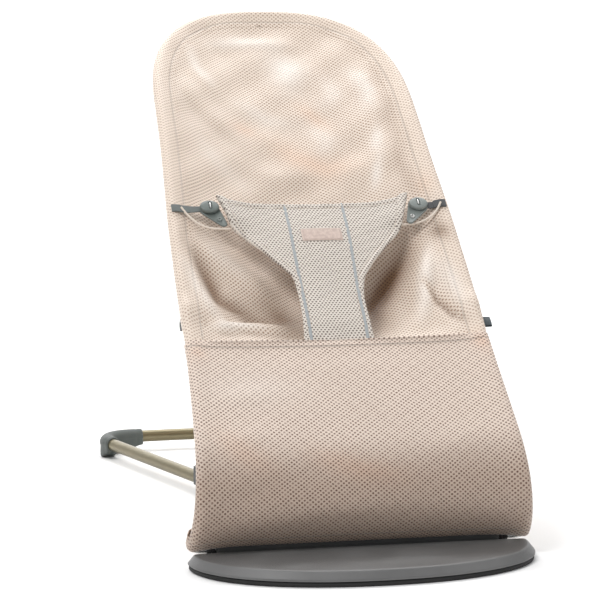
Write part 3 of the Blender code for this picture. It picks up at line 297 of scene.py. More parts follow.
CALF_SAG = pchip(((0, 0.0), (0.05, 0.0035), (0.12, 0.0065), (0.20, 0.0045), (0.31, 0.0030)))
CALF_FOLDS = fold_field([
    ([(-0.155, 0.060), (-0.090, 0.092), (-0.010, 0.110)], -0.0022, 0.014),
    ([(-0.120, 0.035), (-0.040, 0.055), (0.040, 0.060)], 0.0016, 0.013),
    ([(-0.140, 0.150), (-0.085, 0.165)], 0.0014, 0.012),
    ([(-0.140, 0.215), (-0.080, 0.225)], 0.0014, 0.012),
    ([(0.060, 0.120), (0.140, 0.150)], 0.0014, 0.016),
    ([(-0.140, 0.290), (0.0, 0.286), (0.140, 0.290)], -0.0006, 0.010),
])


def calf_n(x, t, q):
    s = np.clip(t / L, 0, 1)
    u = np.clip(np.abs(x) / np.maximum(tube_x(t), 1e-4), 0, 1)
    hem = 0.0006 * np.clip((t / L - (S_POCKET - 0.010)) / 0.001, 0, 1)
    lift = 0.0042 * np.exp(-(np.maximum(q - 0.0026, 0) / 0.016) ** 1.2)
    return 0.0024 + lift - CALF_SAG(s) * (1 - u * u) ** 1.2 + hem + CALF_FOLDS(x, t) * (1 - np.exp(-(q / 0.014) ** 2))


# ----------------------------------------------------------------- mesh helpers
def link(ob):
    bpy.context.scene.collection.objects.link(ob)
    return ob


def make(name, verts, faces, mat, uv=None, edge=None, smooth=35, extra=None):
    me = bpy.data.meshes.new(name)
    me.from_pydata([tuple(v) for v in verts], [], faces)
    if uv is not None:
        layer = me.uv_layers.new(name="weave")
        idx = np.empty(len(me.loops), np.int32)
        me.loops.foreach_get("vertex_index", idx)
        layer.data.foreach_set("uv", np.asarray(uv, np.float32)[idx].ravel())
    if edge is not None:
        me.attributes.new("edge", "FLOAT", "POINT").data.foreach_set("value", np.asarray(edge, np.float32))
    for key, values in (extra or {}).items():
        me.attributes.new(key, "FLOAT", "POINT").data.foreach_set("value", np.asarray(values, np.float32))
    me.materials.append(mat)
    me.update()
    me.shade_smooth()
    if smooth and smooth < 180:
        me.set_sharp_from_angle(angle=math.radians(smooth))
    return link(bpy.data.objects.new(name, me))


def grid_faces(rows, cols, wrap_cols=False, flip=False):
    out = []
    for i in range(rows - 1):
        for j in range(cols if wrap_cols else cols - 1):
            k = (j + 1) % cols
            f = (i * cols + j, i * cols + k, (i + 1) * cols + k, (i + 1) * cols + j)
            out.append(f[::-1] if flip else f)
    return out


def weld(ob, dist=1e-6):
    bm = bmesh.new()
    bm.from_mesh(ob.data)
    bmesh.ops.remove_doubles(bm, verts=bm.verts, dist=dist)
    bmesh.ops.dissolve_degenerate(bm, edges=bm.edges, dist=1e-7)
    bm.to_mesh(ob.data)
    bm.free()
    return ob


def fix_normals(ob):
    bm = bmesh.new()
    bm.from_mesh(ob.data)
    bmesh.ops.recalc_face_normals(bm, faces=bm.faces)
    bm.to_mesh(ob.data)
    bm.free()
    return ob


def apply_all(ob):
    """Modifiers made into mesh."""
    bpy.context.view_layer.update()
    graph = bpy.context.evaluated_depsgraph_get()
    me = bpy.data.meshes.new_from_object(ob.evaluated_get(graph), depsgraph=graph)
    ob.modifiers.clear()
    ob.data = me
    return ob


def smooth_line(pts, step):
    """Points every step along a centripetal curve through pts."""
    P = [Vector(p) for p in pts]
    P = [P[0] * 2 - P[1]] + P + [P[-1] * 2 - P[-2]]
    dense = []
    for i in range(1, len(P) - 2):
        a, b, c, d = P[i - 1], P[i], P[i + 1], P[i + 2]
        for k in range(24):
            u = k / 24
            dense.append(0.5 * ((2 * b) + (c - a) * u + (2 * a - 5 * b + 4 * c - d) * u * u + (3 * b - a - 3 * c + d) * u ** 3))
    dense.append(P[-2])
    run = [0.0]
    for a, b in zip(dense, dense[1:]):
        run.append(run[-1] + (b - a).length)
    count = max(2, int(run[-1] / step) + 1)
    at = np.linspace(0, run[-1], count)
    arr = np.array([tuple(p) for p in dense])
    return [Vector([float(np.interp(a, run, arr[:, k])) for k in range(3)]) for a in at]


def sweep(name, pts, section, mat, closed=False, caps=True, up=None, scale=None, smooth=40):
    """Section (list of (u, v)) carried along pts without twist. up fixes the v direction."""
    pts = [Vector(p) for p in pts]
    n = len(pts)
    verts, uv = [], []
    normal = None
    run = 0.0
    m = len(section)
    around = np.concatenate([[0], np.cumsum([math.hypot(section[(k + 1) % m][0] - section[k][0],
                                                         section[(k + 1) % m][1] - section[k][1]) for k in range(m)])])
    for i, p in enumerate(pts):
        if closed:
            d = (pts[(i + 1) % n] - pts[i - 1]).normalized()
        else:
            d = (pts[min(i + 1, n - 1)] - pts[max(i - 1, 0)]).normalized()
        if up is not None:
            v = Vector(up) - d * Vector(up).dot(d)
        elif normal is None:
            a = Vector((0, 0, 1)) if abs(d.z) < 0.9 else Vector((1, 0, 0))
            v = a - d * a.dot(d)
        else:
            v = normal - d * normal.dot(d)
        v.normalize()
        normal = v
        u = v.cross(d).normalized()
        k = scale(i / max(n - 1, 1)) if scale else 1.0
        if i:
            run += (p - pts[i - 1]).length
        for j, (a, b) in enumerate(section):
            verts.append(p + u * a * k + v * b * k)
            uv.append((around[j], run))
    faces = grid_faces(n, m, wrap_cols=True, flip=True)
    if closed:
        for j in range(m):
            k = (j + 1) % m
            faces.append(((n - 1) * m + k, (n - 1) * m + j, j, k)[::-1])
    elif caps:
        faces.append(tuple(range(m)))
        faces.append(tuple((n - 1) * m + j for j in reversed(range(m))))
    ob = make(name, verts, faces, mat, uv=uv, smooth=smooth)
    return fix_normals(ob)


def circle(r, k=24, sx=1.0, sy=1.0):
    return [(r * sx * math.cos(2 * math.pi * j / k), r * sy * math.sin(2 * math.pi * j / k)) for j in range(k)]


def lathe(name, prof, origin, axis, mat, k=48, start=(0, 0, 1)):
    """Turned solid: prof is (radius, height) pairs along axis."""
    z = Vector(axis).normalized()
    a = Vector(start) if abs(Vector(start).dot(z)) < 0.9 else Vector((1, 0, 0))
    x = (a - z * a.dot(z)).normalized()
    y = z.cross(x)
    o = Vector(origin)
    verts = [o + x * r * math.cos(2 * math.pi * j / k) + y * r * math.sin(2 * math.pi * j / k) + z * h
             for r, h in prof for j in range(k)]
    ob = make(name, verts, grid_faces(len(prof), k, wrap_cols=True), mat)
    weld(ob, 1e-7)
    return fix_normals(ob)


def rings(name, loops, mat, cap_first=True, cap_last=True, smooth=35):
    """Skin through a stack of point loops of equal length."""
    m = len(loops[0])
    verts = [p for l in loops for p in l]
    faces = grid_faces(len(loops), m, wrap_cols=True)
    if cap_first:
        faces.append(tuple(reversed(range(m))))
    if cap_last:
        faces.append(tuple((len(loops) - 1) * m + j for j in range(m)))
    ob = make(name, verts, faces, mat, smooth=smooth)
    return fix_normals(ob)


def join(name, objs):
    bm = bmesh.new()
    for o in objs:
        me = o.data
        me.transform(o.matrix_world)
        bm.from_mesh(me)
    me = bpy.data.meshes.new(name)
    bm.to_mesh(me)
    bm.free()
    me.materials.append(objs[0].data.materials[0])
    for o in objs:
        bpy.data.objects.remove(o, do_unlink=True)
    return link(bpy.data.objects.new(name, me))


def stitches(name, pts, normals, mat, pitch=0.0034, length=0.0023, r=0.00028):
    """A row of short thread stitches along a line that lies on a surface."""
    P = np.array([tuple(p) for p in pts])
    N = np.array([tuple(n) for n in normals])
    run = np.concatenate([[0], np.cumsum(np.linalg.norm(np.diff(P, axis=0), axis=1))])
    verts, faces = [], []
    at = pitch / 2
    while at < run[-1] - length / 2:
        ring_at = []
        for k, f in ((-0.5, 0.15), (-0.32, 0.9), (0, 1.0), (0.32, 0.9), (0.5, 0.15)):
            a = min(max(at + k * length, 0), run[-1])
            p = Vector([float(np.interp(a, run, P[:, c])) for c in range(3)])
            nn = Vector([float(np.interp(a, run, N[:, c])) for c in range(3)]).normalized()
            q = Vector([float(np.interp(min(a + 1e-4, run[-1]), run, P[:, c])) for c in range(3)])
            q0 = Vector([float(np.interp(max(a - 1e-4, 0), run, P[:, c])) for c in range(3)])
            d = (q - q0).normalized()
            side = d.cross(nn).normalized()
            dip = -r * 0.9 if abs(k) > 0.4 else 0.0
            base = len(verts)
            for j in range(6):
                a2 = 2 * math.pi * j / 6
                verts.append(p + side * r * f * math.cos(a2) * 1.25 + nn * (r * f * math.sin(a2) + dip))
            ring_at.append(base)
        for a, b in zip(ring_at, ring_at[1:]):
            for j in range(6):
                k2 = (j + 1) % 6
                faces.append((a + j, a + k2, b + k2, b + j))
        faces.append(tuple(ring_at[0] + j for j in reversed(range(6))))
        faces.append(tuple(ring_at[-1] + j for j in range(6)))
        at += pitch
    return fix_normals(make(name, verts, faces, mat, smooth=180))


# -------------------------------------------------------------------- materials
class Nodes:
    def __init__(self, name):
        self.mat = bpy.data.materials.new(name)
        self.mat.use_nodes = True
        self.t = self.mat.node_tree
        self.bsdf = self.t.nodes["Principled BSDF"]

    def add(self, kind, props=None, **ins):
        n = self.t.nodes.new(kind)
        for k, v in (props or {}).items():
            setattr(n, k, v)
        for k, v in ins.items():
            self.set(n.inputs[k.replace("_", " ")] if not k.startswith("i") or not k[1:].isdigit() else n.inputs[int(k[1:])], v)
        return n

    def set(self, sock, v):
        if isinstance(v, bpy.types.NodeSocket):
            self.t.links.new(v, sock)
        elif isinstance(v, bpy.types.Node):
            self.t.links.new(v.outputs[0], sock)
        else:
            sock.default_value = v

    def math(self, op, a, b=None, c=None, clamp=False):
        n = self.t.nodes.new("ShaderNodeMath")
        n.operation = op
        n.use_clamp = clamp
        for i, v in enumerate((a, b, c)):
            if v is not None:
                self.set(n.inputs[i], v)
        return n.outputs[0]

    def vec(self, op, a, b=None):
        n = self.t.nodes.new("ShaderNodeVectorMath")
        n.operation = op
        self.set(n.inputs[0], a)
        if b is not None:
            self.set(n.inputs[1], b)
        return n.outputs[1] if op in ("LENGTH", "DISTANCE", "DOT_PRODUCT") else n.outputs[0]

    def ramp(self, v, lo, hi, a=0.0, b=1.0, kind="SMOOTHSTEP"):
        n = self.t.nodes.new("ShaderNodeMapRange")
        n.interpolation_type = kind
        self.set(n.inputs["Value"], v)
        for k, x in (("From Min", lo), ("From Max", hi), ("To Min", a), ("To Max", b)):
            n.inputs[k].default_value = x
        return n.outputs[0]

    def mix(self, f, a, b, blend="MIX"):
        n = self.t.nodes.new("ShaderNodeMix")
        n.data_type = "RGBA"
        n.blend_type = blend
        self.set(n.inputs[0], f)
        self.set(n.inputs[6], a if not isinstance(a, tuple) else (*a, 1))
        self.set(n.inputs[7], b if not isinstance(b, tuple) else (*b, 1))
        return n.outputs[2]

    def noise(self, vec, scale, detail=3.0, rough=0.5):
        n = self.t.nodes.new("ShaderNodeTexNoise")
        self.set(n.inputs["Vector"], vec)
        n.inputs["Scale"].default_value = scale
        n.inputs["Detail"].default_value = detail
        n.inputs["Roughness"].default_value = rough
        return n

    def obj(self):
        return self.t.nodes.new("ShaderNodeTexCoord").outputs["Object"]

    def uv(self):
        n = self.t.nodes.new("ShaderNodeUVMap")
        n.uv_map = "weave"
        return n.outputs[0]

    def edge(self, key="edge"):
        n = self.t.nodes.new("ShaderNodeAttribute")
        n.attribute_name = key
        return n.outputs["Fac"]

    def bump(self, h, dist, strength=1.0, normal=None):
        n = self.t.nodes.new("ShaderNodeBump")
        n.inputs["Strength"].default_value = strength
        n.inputs["Distance"].default_value = dist
        self.set(n.inputs["Height"], h)
        if normal is not None:
            self.set(n.inputs["Normal"], normal)
        return n.outputs[0]

    def out(self, **kw):
        names = {"color": "Base Color", "rough": "Roughness", "metal": "Metallic", "normal": "Normal",
                 "spec": "Specular IOR Level", "sheen": "Sheen Weight", "sheen_rough": "Sheen Roughness",
                 "coat": "Coat Weight", "coat_rough": "Coat Roughness", "alpha": "Alpha"}
        for k, v in kw.items():
            self.set(self.bsdf.inputs[names[k]], (*v, 1) if isinstance(v, tuple) and len(v) == 3 else v)
        return self.mat


def holes(N, vec, ph, pv, rx, ry, soft=0.30):
    """1 inside the holes of a staggered knit: ph and pv are its full periods in metres."""
    p = N.vec("MULTIPLY", vec, (1 / ph, 1 / pv, 0))
    out = []
    for shift in (0.0, 0.5):
        q = N.vec("ADD", p, (shift, shift, 0)) if shift else p
        q = N.vec("SUBTRACT", N.vec("FRACTION", q), (0.5, 0.5, 0))
        out.append(N.vec("LENGTH", N.vec("MULTIPLY", q, (ph / rx, pv / ry, 0))))
    d = N.math("MINIMUM", out[0], out[1])
    return N.ramp(d, 1 + soft, 1 - soft), d


def mesh_material(name, light, dark, ph=0.0055, pv=0.0046, r=0.00100, second=0.0, hem=0.020, rough=0.46, sheen=0.25, lines=(), with_painted_light=True):
    N = Nodes(name)
    uv = N.uv()
    warp = N.noise(uv, 28.0, 1.0).outputs["Color"]
    vec = N.vec("ADD", uv, N.vec("MULTIPLY", N.vec("SUBTRACT", warp, (0.5, 0.5, 0.5)), (0.0030, 0.0030, 0)))
    h, d = holes(N, vec, ph, pv, r, r * 0.95)
    tint = N.noise(uv, 9.0, 2.0).outputs[0]
    a = N.mix(N.ramp(tint, 0.35, 0.65), light, tuple(c * 0.94 for c in light))
    # the yarn round each hole is a little darker, its crest lighter
    a = N.mix(N.ramp(d, 1.9, 1.2), a, tuple(c * 0.86 for c in light))
    yarn = N.noise(N.vec("MULTIPLY", uv, (900, 2600, 1)), 1.0, 1.0).outputs[0]
    a = N.mix(N.math("MULTIPLY", yarn, 0.30), a, tuple(min(1, c * 1.12) for c in light))
    # the holes show the layer behind in painted shade
    inner = dark
    if second:
        # what shows through the holes is the second layer's own mesh: its yarn in painted shade, its holes painted
        # bright as light coming through
        turned = N.add("ShaderNodeMapping", None, Vector=uv)
        turned.inputs["Rotation"].default_value = (0, 0, 0.03)
        h2, _ = holes(N, turned.outputs[0], 0.00425, 0.00360, 0.00095, 0.00090)
        inner = N.mix(h2, dark, tuple(min(1, c * 1.02) for c in light))
        inner = N.mix(second, dark, inner)
    e = N.edge()
    col = N.mix(h, a, inner)
    if hem:
        band = N.ramp(e, hem + 0.0006, hem - 0.0006)
        col = N.mix(N.math("MULTIPLY", band, 0.22), col, tuple(min(1, c * 1.05) for c in light))
        line = N.math("MULTIPLY", N.ramp(e, hem - 0.0016, hem - 0.0004), N.ramp(e, hem + 0.0016, hem + 0.0004))
        col = N.mix(N.math("MULTIPLY", line, 0.45), col, tuple(c * 0.55 for c in light))
    height = N.math("SUBTRACT", N.math("MULTIPLY", yarn, 0.18), h)
    if lines:
        along_t = N.add("ShaderNodeSeparateXYZ", None, Vector=uv).outputs[1]
        for at in lines:
            seam = N.math("MULTIPLY", N.ramp(along_t, at - 0.0011, at - 0.0003), N.ramp(along_t, at + 0.0011, at + 0.0003))
            col = N.mix(N.math("MULTIPLY", seam, 0.50), col, tuple(c * 0.45 for c in light))
            height = N.math("SUBTRACT", height, N.math("MULTIPLY", seam, 1.2))
    if with_painted_light:
        # painted light and shade from the per-point tone: brown painted shade below zero, painted highlight above
        t = N.edge("tone")
        col = N.mix(N.ramp(t, 0.0, -0.85, kind="LINEAR"), col, N.mix(1.0, col, (0.30, 0.20, 0.125), "MULTIPLY"))
        col = N.mix(N.ramp(t, 0.0, 0.75, kind="LINEAR"), col, (0.97, 0.92, 0.87))
        # warm orange painted shade from its own per-point field
        col = N.mix(N.math("MULTIPLY", N.edge("warm"), 0.55), col, N.mix(1.0, col, (1.10, 0.80, 0.62), "MULTIPLY"))
    if hem:
        height = N.math("SUBTRACT", height, N.math("MULTIPLY", line, 0.8))
    normal = N.bump(height, 0.0007, 0.75)
    return N.out(color=col, rough=rough, normal=normal, sheen=sheen, sheen_rough=0.4, spec=0.45)


def plastic(name, colour, rough=0.45, grain=0.00006, scale=2600.0, vary=0.08, spec=0.5):
    N = Nodes(name)
    o = N.obj()
    big = N.noise(o, 22.0, 3.0).outputs[0]
    col = N.mix(N.ramp(big, 0.3, 0.7), tuple(c * (1 - vary) for c in colour), tuple(c * (1 + vary) for c in colour))
    fine = N.noise(o, scale, 2.0).outputs[0]
    rr = N.ramp(big, 0.3, 0.7, rough - 0.05, rough + 0.06)
    return N.out(color=col, rough=rr, normal=N.bump(fine, grain * 6, 0.35), spec=spec)


def metal(name, colour, rough=0.3, metallic=1.0, vary=0.07, streak=0.0, coat=0.0):
    N = Nodes(name)
    o = N.obj()
    big = N.noise(o, 30.0, 4.0).outputs[0]
    col = N.mix(N.ramp(big, 0.3, 0.7), tuple(c * (1 - vary) for c in colour), tuple(min(1, c * (1 + vary)) for c in colour))
    fine = N.noise(o, 1400.0, 2.0).outputs[0]
    rr = N.ramp(fine, 0.3, 0.7, rough - 0.04, rough + 0.06)
    return N.out(color=col, rough=rr, metal=metallic, normal=N.bump(fine, 0.0001, 0.18), coat=coat)


def webbing_material(name, colour, ribs=0.0011):
    """Woven tape: ribs across, a fine zigzag and lighter flecks."""
    N = Nodes(name)
    uv = N.uv()
    s = N.add("ShaderNodeSeparateXYZ", None, Vector=uv)
    wave = N.math("SINE", N.math("MULTIPLY", s.outputs[1], 2 * math.pi / ribs))
    wave2 = N.math("SINE", N.math("ADD", N.math("MULTIPLY", s.outputs[0], 2 * math.pi / 0.0016), N.math("MULTIPLY", wave, 0.8)))
    h = N.math("ADD", N.math("MULTIPLY", wave, 0.5), N.math("MULTIPLY", wave2, 0.35))
    tone = N.ramp(h, -0.8, 0.8)
    spots = N.noise(uv, 220.0, 2.0).outputs[0]
    col = N.mix(tone, tuple(c * 0.55 for c in colour), tuple(c * 1.35 for c in colour))
    col = N.mix(N.math("MULTIPLY", spots, 0.35), col, tuple(c * 1.2 for c in colour))
    return N.out(color=col, rough=0.7, normal=N.bump(h, 0.00035, 0.7), sheen=0.2)


def thread(name, colour):
    N = Nodes(name)
    o = N.obj()
    w = N.noise(o, 2500.0, 2.0).outputs[0]
    col = N.mix(w, tuple(c * 0.7 for c in colour), tuple(min(1, c * 1.15) for c in colour))
    return N.out(color=col, rough=0.6, normal=N.bump(w, 0.0001, 0.6), sheen=0.2)


# the second colour of each mesh is what shows in its holes: the cloth of the layer behind, darkened as painted shade
M_COVER = mesh_material("rose_mesh_cover", (0.84, 0.715, 0.61), (0.38, 0.245, 0.165), r=0.00098, rough=0.42)
M_CALF = mesh_material("rose_mesh_calf", (0.81, 0.675, 0.58), (0.20, 0.115, 0.080), r=0.00102, second=0.40, hem=0.0,
                       lines=(0.0105, S_POCKET * L - 0.0070))
M_FLAP = mesh_material("cream_spacer_mesh", (0.745, 0.680, 0.610), (0.14, 0.100, 0.080), ph=0.0040, pv=0.0056, r=0.00095,
                       hem=0.0, rough=0.6, sheen=0.15, with_painted_light=False)
M_PIPE = thread("cream_binding", (0.82, 0.72, 0.62))
M_CORD = thread("silver_grey_piping", (0.40, 0.425, 0.44))
M_THREAD = thread("cream_thread", (0.78, 0.66, 0.56))
M_PLATE = plastic("dark_grey_plastic", (0.135, 0.135, 0.135), 0.42)
M_BUTTON = plastic("grey_green_plastic", (0.155, 0.180, 0.170), 0.36)
# a lighter copy of the same grey-green plastic, painted light: the right plate and button and the left rivet
M_BUTTON_PAINTED_LIT = plastic("grey_green_plastic_painted_lit", (0.22, 0.245, 0.235), 0.33)
M_DARK = plastic("black_plastic", (0.022, 0.022, 0.022), 0.5)
M_GREY = plastic("joint_grey_plastic", (0.075, 0.078, 0.078), 0.5)
M_RUBBER = plastic("green_grey_rubber", (0.080, 0.092, 0.085), 0.62, grain=0.0001, scale=1500.0)
M_RIM = plastic("black_rubber", (0.018, 0.018, 0.018), 0.7)
M_BRONZE = metal("bronze_paint", (0.190, 0.163, 0.096), 0.34, 0.75, coat=0.1)
M_WIRE = metal("satin_spring_wire", (0.74, 0.74, 0.72), 0.26)
M_STEEL = metal("zinc_screw", (0.55, 0.55, 0.54), 0.32)
# one grey webbing in two copies, painted light and painted shade: the left strap lighter, the right strap darker
M_STRAP_PAINTED_LIT = webbing_material("grey_webbing", (0.13, 0.15, 0.145))
M_STRAP_PAINTED_SHADE = webbing_material("webbing_painted_shade", (0.060, 0.062, 0.066))
M_TAG = webbing_material("dark_tag_tape", (0.060, 0.078, 0.088), 0.0008)


# ---------------------------------------------------------------------- camera
def camera():
    az, el = math.radians(-12.193), math.radians(6.7125)
    at = Vector((-0.54775, -2.51978, 0.53970))
    back = Vector((math.sin(az) * math.cos(el), -math.cos(az) * math.cos(el), math.sin(el)))
    right = Vector((math.cos(az), math.sin(az), 0))
    up = back.cross(right)
    data = bpy.data.cameras.new("camera")
    data.lens, data.sensor_width = 137.37, 36.0
    data.clip_start, data.clip_end = 0.05, 50
    ob = link(bpy.data.objects.new("camera", data))
    m = Matrix((right, up, back)).transposed().to_4x4()
    m.translation = at
    ob.matrix_world = m
    bpy.context.scene.camera = ob


camera()


# ------------------------------------------------------------------ seat cover
def strip(name, rows_t, centre, e, inner_q, profile, height, mids, mat, r_at, close=True):
    """A fabric skin: per row, a wrap round each side tube and a sheet between them.

    rows: arrays of tube-middle points and outward directions. profile is a list of
    (kind, value): wrap angles in degrees, or sheet distances q from the tube.
    """
    cx, ct = centre
    ex, et = e
    rows = len(cx)
    cols_side = []
    for kind, v in profile:
        cols_side.append((kind, v))
    X, T, Nn, U, V, E = [], [], [], [], [], []
    q_side = []
    # right side, from the sheet outwards and round the tube
    for kind, v in cols_side:
        r, k = r_at
        if kind == "q":
            x, t = cx - ex * v, ct - et * v
            n = height(x, t, np.full(rows, v))
            q_side.append((x, t, n, x, t, np.full(rows, v + WRAP)))
        elif kind == "a":
            a = math.radians(v)
            x, t = cx + ex * r * math.cos(a), ct + et * r * math.cos(a)
            n = r * k * math.sin(a)
            arc = r * math.radians(90 - v)
            q_side.append((x, t, n, cx + ex * arc, ct + et * arc, np.maximum(WRAP - arc, 0.0)))
        else:                       # back layer, under the sheet
            x, t = cx - ex * v, ct - et * v
            front = height(x, t, np.full(rows, v))
            n = np.minimum(front - 0.0016, -r * 0.45 - 0.3 * (v - 0.005))
            if v >= inner_q:
                n = front - 0.0012
            arc = -0.025 - (v)
            q_side.append((x, t, n, cx - ex * arc, ct - et * arc, np.full(rows, v + WRAP)))
    xi, ti = cx - ex * inner_q, ct - et * inner_q
    xi[-1] = 0.0
    us = np.linspace(-1, 1, mids)
    mid = []
    gx = us[None, :] * xi[:, None]
    gt = np.repeat(ti[:, None], mids, 1)
    gq = inward(gx, gt)
    gq = np.maximum(gq, inner_q)
    gn = height(gx, gt, gq)
    for j in range(mids):
        mid.append((gx[:, j], gt[:, j], gn[:, j], gx[:, j], gt[:, j], gq[:, j] + WRAP))
    left = [(-x, t, n, -u, v, ed) for x, t, n, u, v, ed in reversed(q_side)]
    cols = left + mid + q_side
    stack = [np.stack([c[k] for c in cols], 1) for k in range(6)]
    P = place(stack[0], stack[1], stack[2])
    verts = P.reshape(-1, 3)
    uv = np.stack([stack[3].ravel(), stack[4].ravel()], 1)
    flat = stack[0].ravel(), stack[1].ravel()
    # the cloth's painted light and shade and its painted warm shade, kept per point for the material
    extra = {"tone": cloth_painted_light(*flat, name == "calf"), "warm": PAINTED_WARM_SHADE(*flat)}
    return verts, uv, stack[5].ravel(), rows, len(cols), len(q_side), extra


def seat_cover():
    N = 170
    x, t, ex, et = rim(N, 0.012)
    cx, ct = x - WRAP * ex, t - WRAP * et
    cx[-1] = 0.0
    s = np.clip(ct / L, 0, 1)
    r = R_COVER(s)
    k = 1 + 0.62 * np.exp(-((s - S_PIVOT) * L / 0.012) ** 2)
    prof = [("q", q) for q in (0.0155, 0.011, 0.007, 0.0042)]
    prof += [("a", a) for a in (100, 78, 56, 34, 12, -10, -32, -54, -78, -102, -126, -150)]
    prof += [("b", q) for q in (0.009, 0.0135, 0.019)]
    mids = 91
    verts, uv, edge, rows, cols, side, extra = strip("seat", None, (cx, ct), (ex, et), 0.0200, prof, cover_n, mids, M_COVER, (r, k))
    faces = []
    nb = len([p for p in prof if p[0] == "b"])
    wraps = [i for i, p in enumerate(prof) if p[0] == "a" and p[1] <= -54]
    first_open = min(wraps)
    for i in range(rows - 1):
        sm = (s[i] + s[i + 1]) / 2
        for j in range(cols - 1):
            # an opening at the back of the sleeve where the joint block comes out
            if 0.338 < sm < 0.408:
                jr = j - (cols - side)
                jl = (side - 1) - (j + 1)
                if jr >= first_open - 1 or jl >= first_open - 1:
                    continue
            faces.append((i * cols + j, i * cols + j + 1, (i + 1) * cols + j + 1, (i + 1) * cols + j))
    ob = make("seat_cover_fabric", verts, faces, M_COVER, uv=uv, edge=edge, smooth=180, extra=extra)
    weld(ob, 2e-6)
    bm = bmesh.new()
    bm.from_mesh(ob.data)
    loose = [v for v in bm.verts if not v.link_faces]
    bmesh.ops.delete(bm, geom=loose, context="VERTS")
    bm.to_mesh(ob.data)
    bm.free()
    m = ob.modifiers.new("thickness", "SOLIDIFY")
    m.thickness, m.offset = 0.0011, 0
    apply_all(ob)
    return ob


cover = seat_cover()


# ------------------------------------------------------------------ calf panel
def calf_panel():
    t_top = S_POCKET * L
    ts = np.concatenate([np.linspace(0.0, 0.02, 10)[:-1], np.linspace(0.02, t_top - 0.008, 84),
                         t_top - np.array([0.0068, 0.0055, 0.004, 0.0025, 0.0012, 0.0004, 0.0])])
    x, ex, et = np.interp(ts, RT, RX), np.interp(ts, RT, REX), np.interp(ts, RT, RET)
    cx, ct = x - WRAP * ex, ts - WRAP * et * 0
    r = np.full(len(ts), 0.00665)
    k = np.full(len(ts), 1.0)
    prof = [("q", q) for q in (0.0155, 0.011, 0.007, 0.0042)]
    prof += [("a", a) for a in (100, 80, 60, 40, 20, 0, -20, -40, -60, -82, -104)]
    mids = 81
    verts, uv, edge, rows, cols, side, extra = strip("calf", None, (cx, ct), (ex, et * 0), 0.0200, prof, calf_n, mids, M_CALF, (r, k))
    V = verts.reshape(rows, cols, 3)
    UV = uv.reshape(rows, cols, 2)
    E = edge.reshape(rows, cols)
    t0, n0 = dirs(0.0)
    # the lower edge turns under, the upper one is folded back behind itself
    low, luv, le = [], [], []
    for k2 in range(1, 7):
        a = math.pi * k2 / 6
        rr = 0.0022
        off = -np.array(t0) * rr * math.sin(a) - np.array(n0) * rr * (1 - math.cos(a))
        low.append(V[0] + off)
        luv.append(UV[0] - np.array([0, rr * a]))
        le.append(E[0])
    for k2 in (0.006, 0.014):
        back = place(V[0][:, 0], np.full(cols, k2), 0) - place(V[0][:, 0], np.zeros(cols), 0)
        low.append(low[5] + back)
        luv.append(luv[-1] - np.array([0, 0.007]))
        le.append(E[0])
    t1, n1 = dirs(S_POCKET)
    high, huv = [], []
    for k2 in range(1, 5):
        a = math.pi * k2 / 4
        rr = 0.0015
        high.append(V[-1] + np.array(t1) * rr * math.sin(a) - np.array(n1) * rr * (1 - math.cos(a)))
        huv.append(UV[-1] + np.array([0, rr * a]))
    high.append(high[3] - np.array(t1) * 0.006)
    huv.append(huv[-1] + np.array([0, 0.006]))
    high.append(high[3] - np.array(t1) * 0.012)
    huv.append(huv[-1] + np.array([0, 0.006]))
    V = np.concatenate([np.array(low[::-1]), V, np.array(high)])
    UV = np.concatenate([np.array(luv[::-1]), UV, np.array(huv)])
    E = np.concatenate([np.array(le[::-1]), E, np.repeat(E[-1:], len(high), 0)])
    for key in extra:
        K = np.asarray(extra[key]).reshape(rows, cols)
        extra[key] = np.concatenate([np.repeat(K[:1], len(low), 0), K, np.repeat(K[-1:], len(high), 0)]).ravel()
    ob = make("calf_panel_fabric", V.reshape(-1, 3), grid_faces(V.shape[0], cols), M_CALF, uv=UV.reshape(-1, 2),
              edge=E.ravel(), smooth=180, extra=extra)
    m = ob.modifiers.new("thickness", "SOLIDIFY")
    m.thickness, m.offset = 0.0009, 0
    return apply_all(ob)


calf = calf_panel()
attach(calf, "lower_frame")
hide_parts("calf_panel_front")


def line_on(height, pts, lift, step=0.0015, calc_q=True):
    """Points and normals along a smooth line of (x, s) lying on a fabric surface."""
    flat = smooth_line([(p[0], p[1] * L, 0) for p in pts], step)
    x = np.array([p.x for p in flat])
    t = np.array([p.y for p in flat])
    h = 1e-4

    def surf(x, t):
        return place(x, t, height(x, t, inward(x, t)))
    P = surf(x, t)
    nx = np.cross(surf(x + h, t) - P, surf(x, t + h) - P)
    nx /= np.linalg.norm(nx, axis=1)[:, None]
    return [Vector(p) for p in P + nx * lift], [Vector(n) for n in nx]


def seam_at(inset, t0=0.0):
    """(x, s) points of the line at a distance inside the outline, right half."""
    x, t = RX - inset * REX, RT - inset * RET
    keep = (x >= 0) & (t >= t0)
    return x[keep], t[keep] / L


# hem stitching round the cover's upper part, a single row
threads = []
sx, ss = seam_at(0.0262, 0.345 * L)
pick = np.unique(np.linspace(0, len(sx) - 1, 60).astype(int))
half_line = [(float(sx[i]), float(ss[i])) for i in pick]
full = [(-a, b) for a, b in half_line][::1] + [(0.0, half_line[-1][1])] + half_line[::-1][1:]
pts, nrm = line_on(cover_n, full, 0.00075)
hem_thread = stitches("cover_hem_stitching", pts, nrm, M_THREAD)
place(0, 0.335 * L, 0).tolist()
place(0, 0.405 * L, 0).tolist()
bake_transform(hem_thread)

place(0, 0.335 * L, 0).tolist()
place(0, 0.405 * L, 0).tolist()
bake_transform(cover)
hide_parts("seat_cover", "calf_panel_rear")

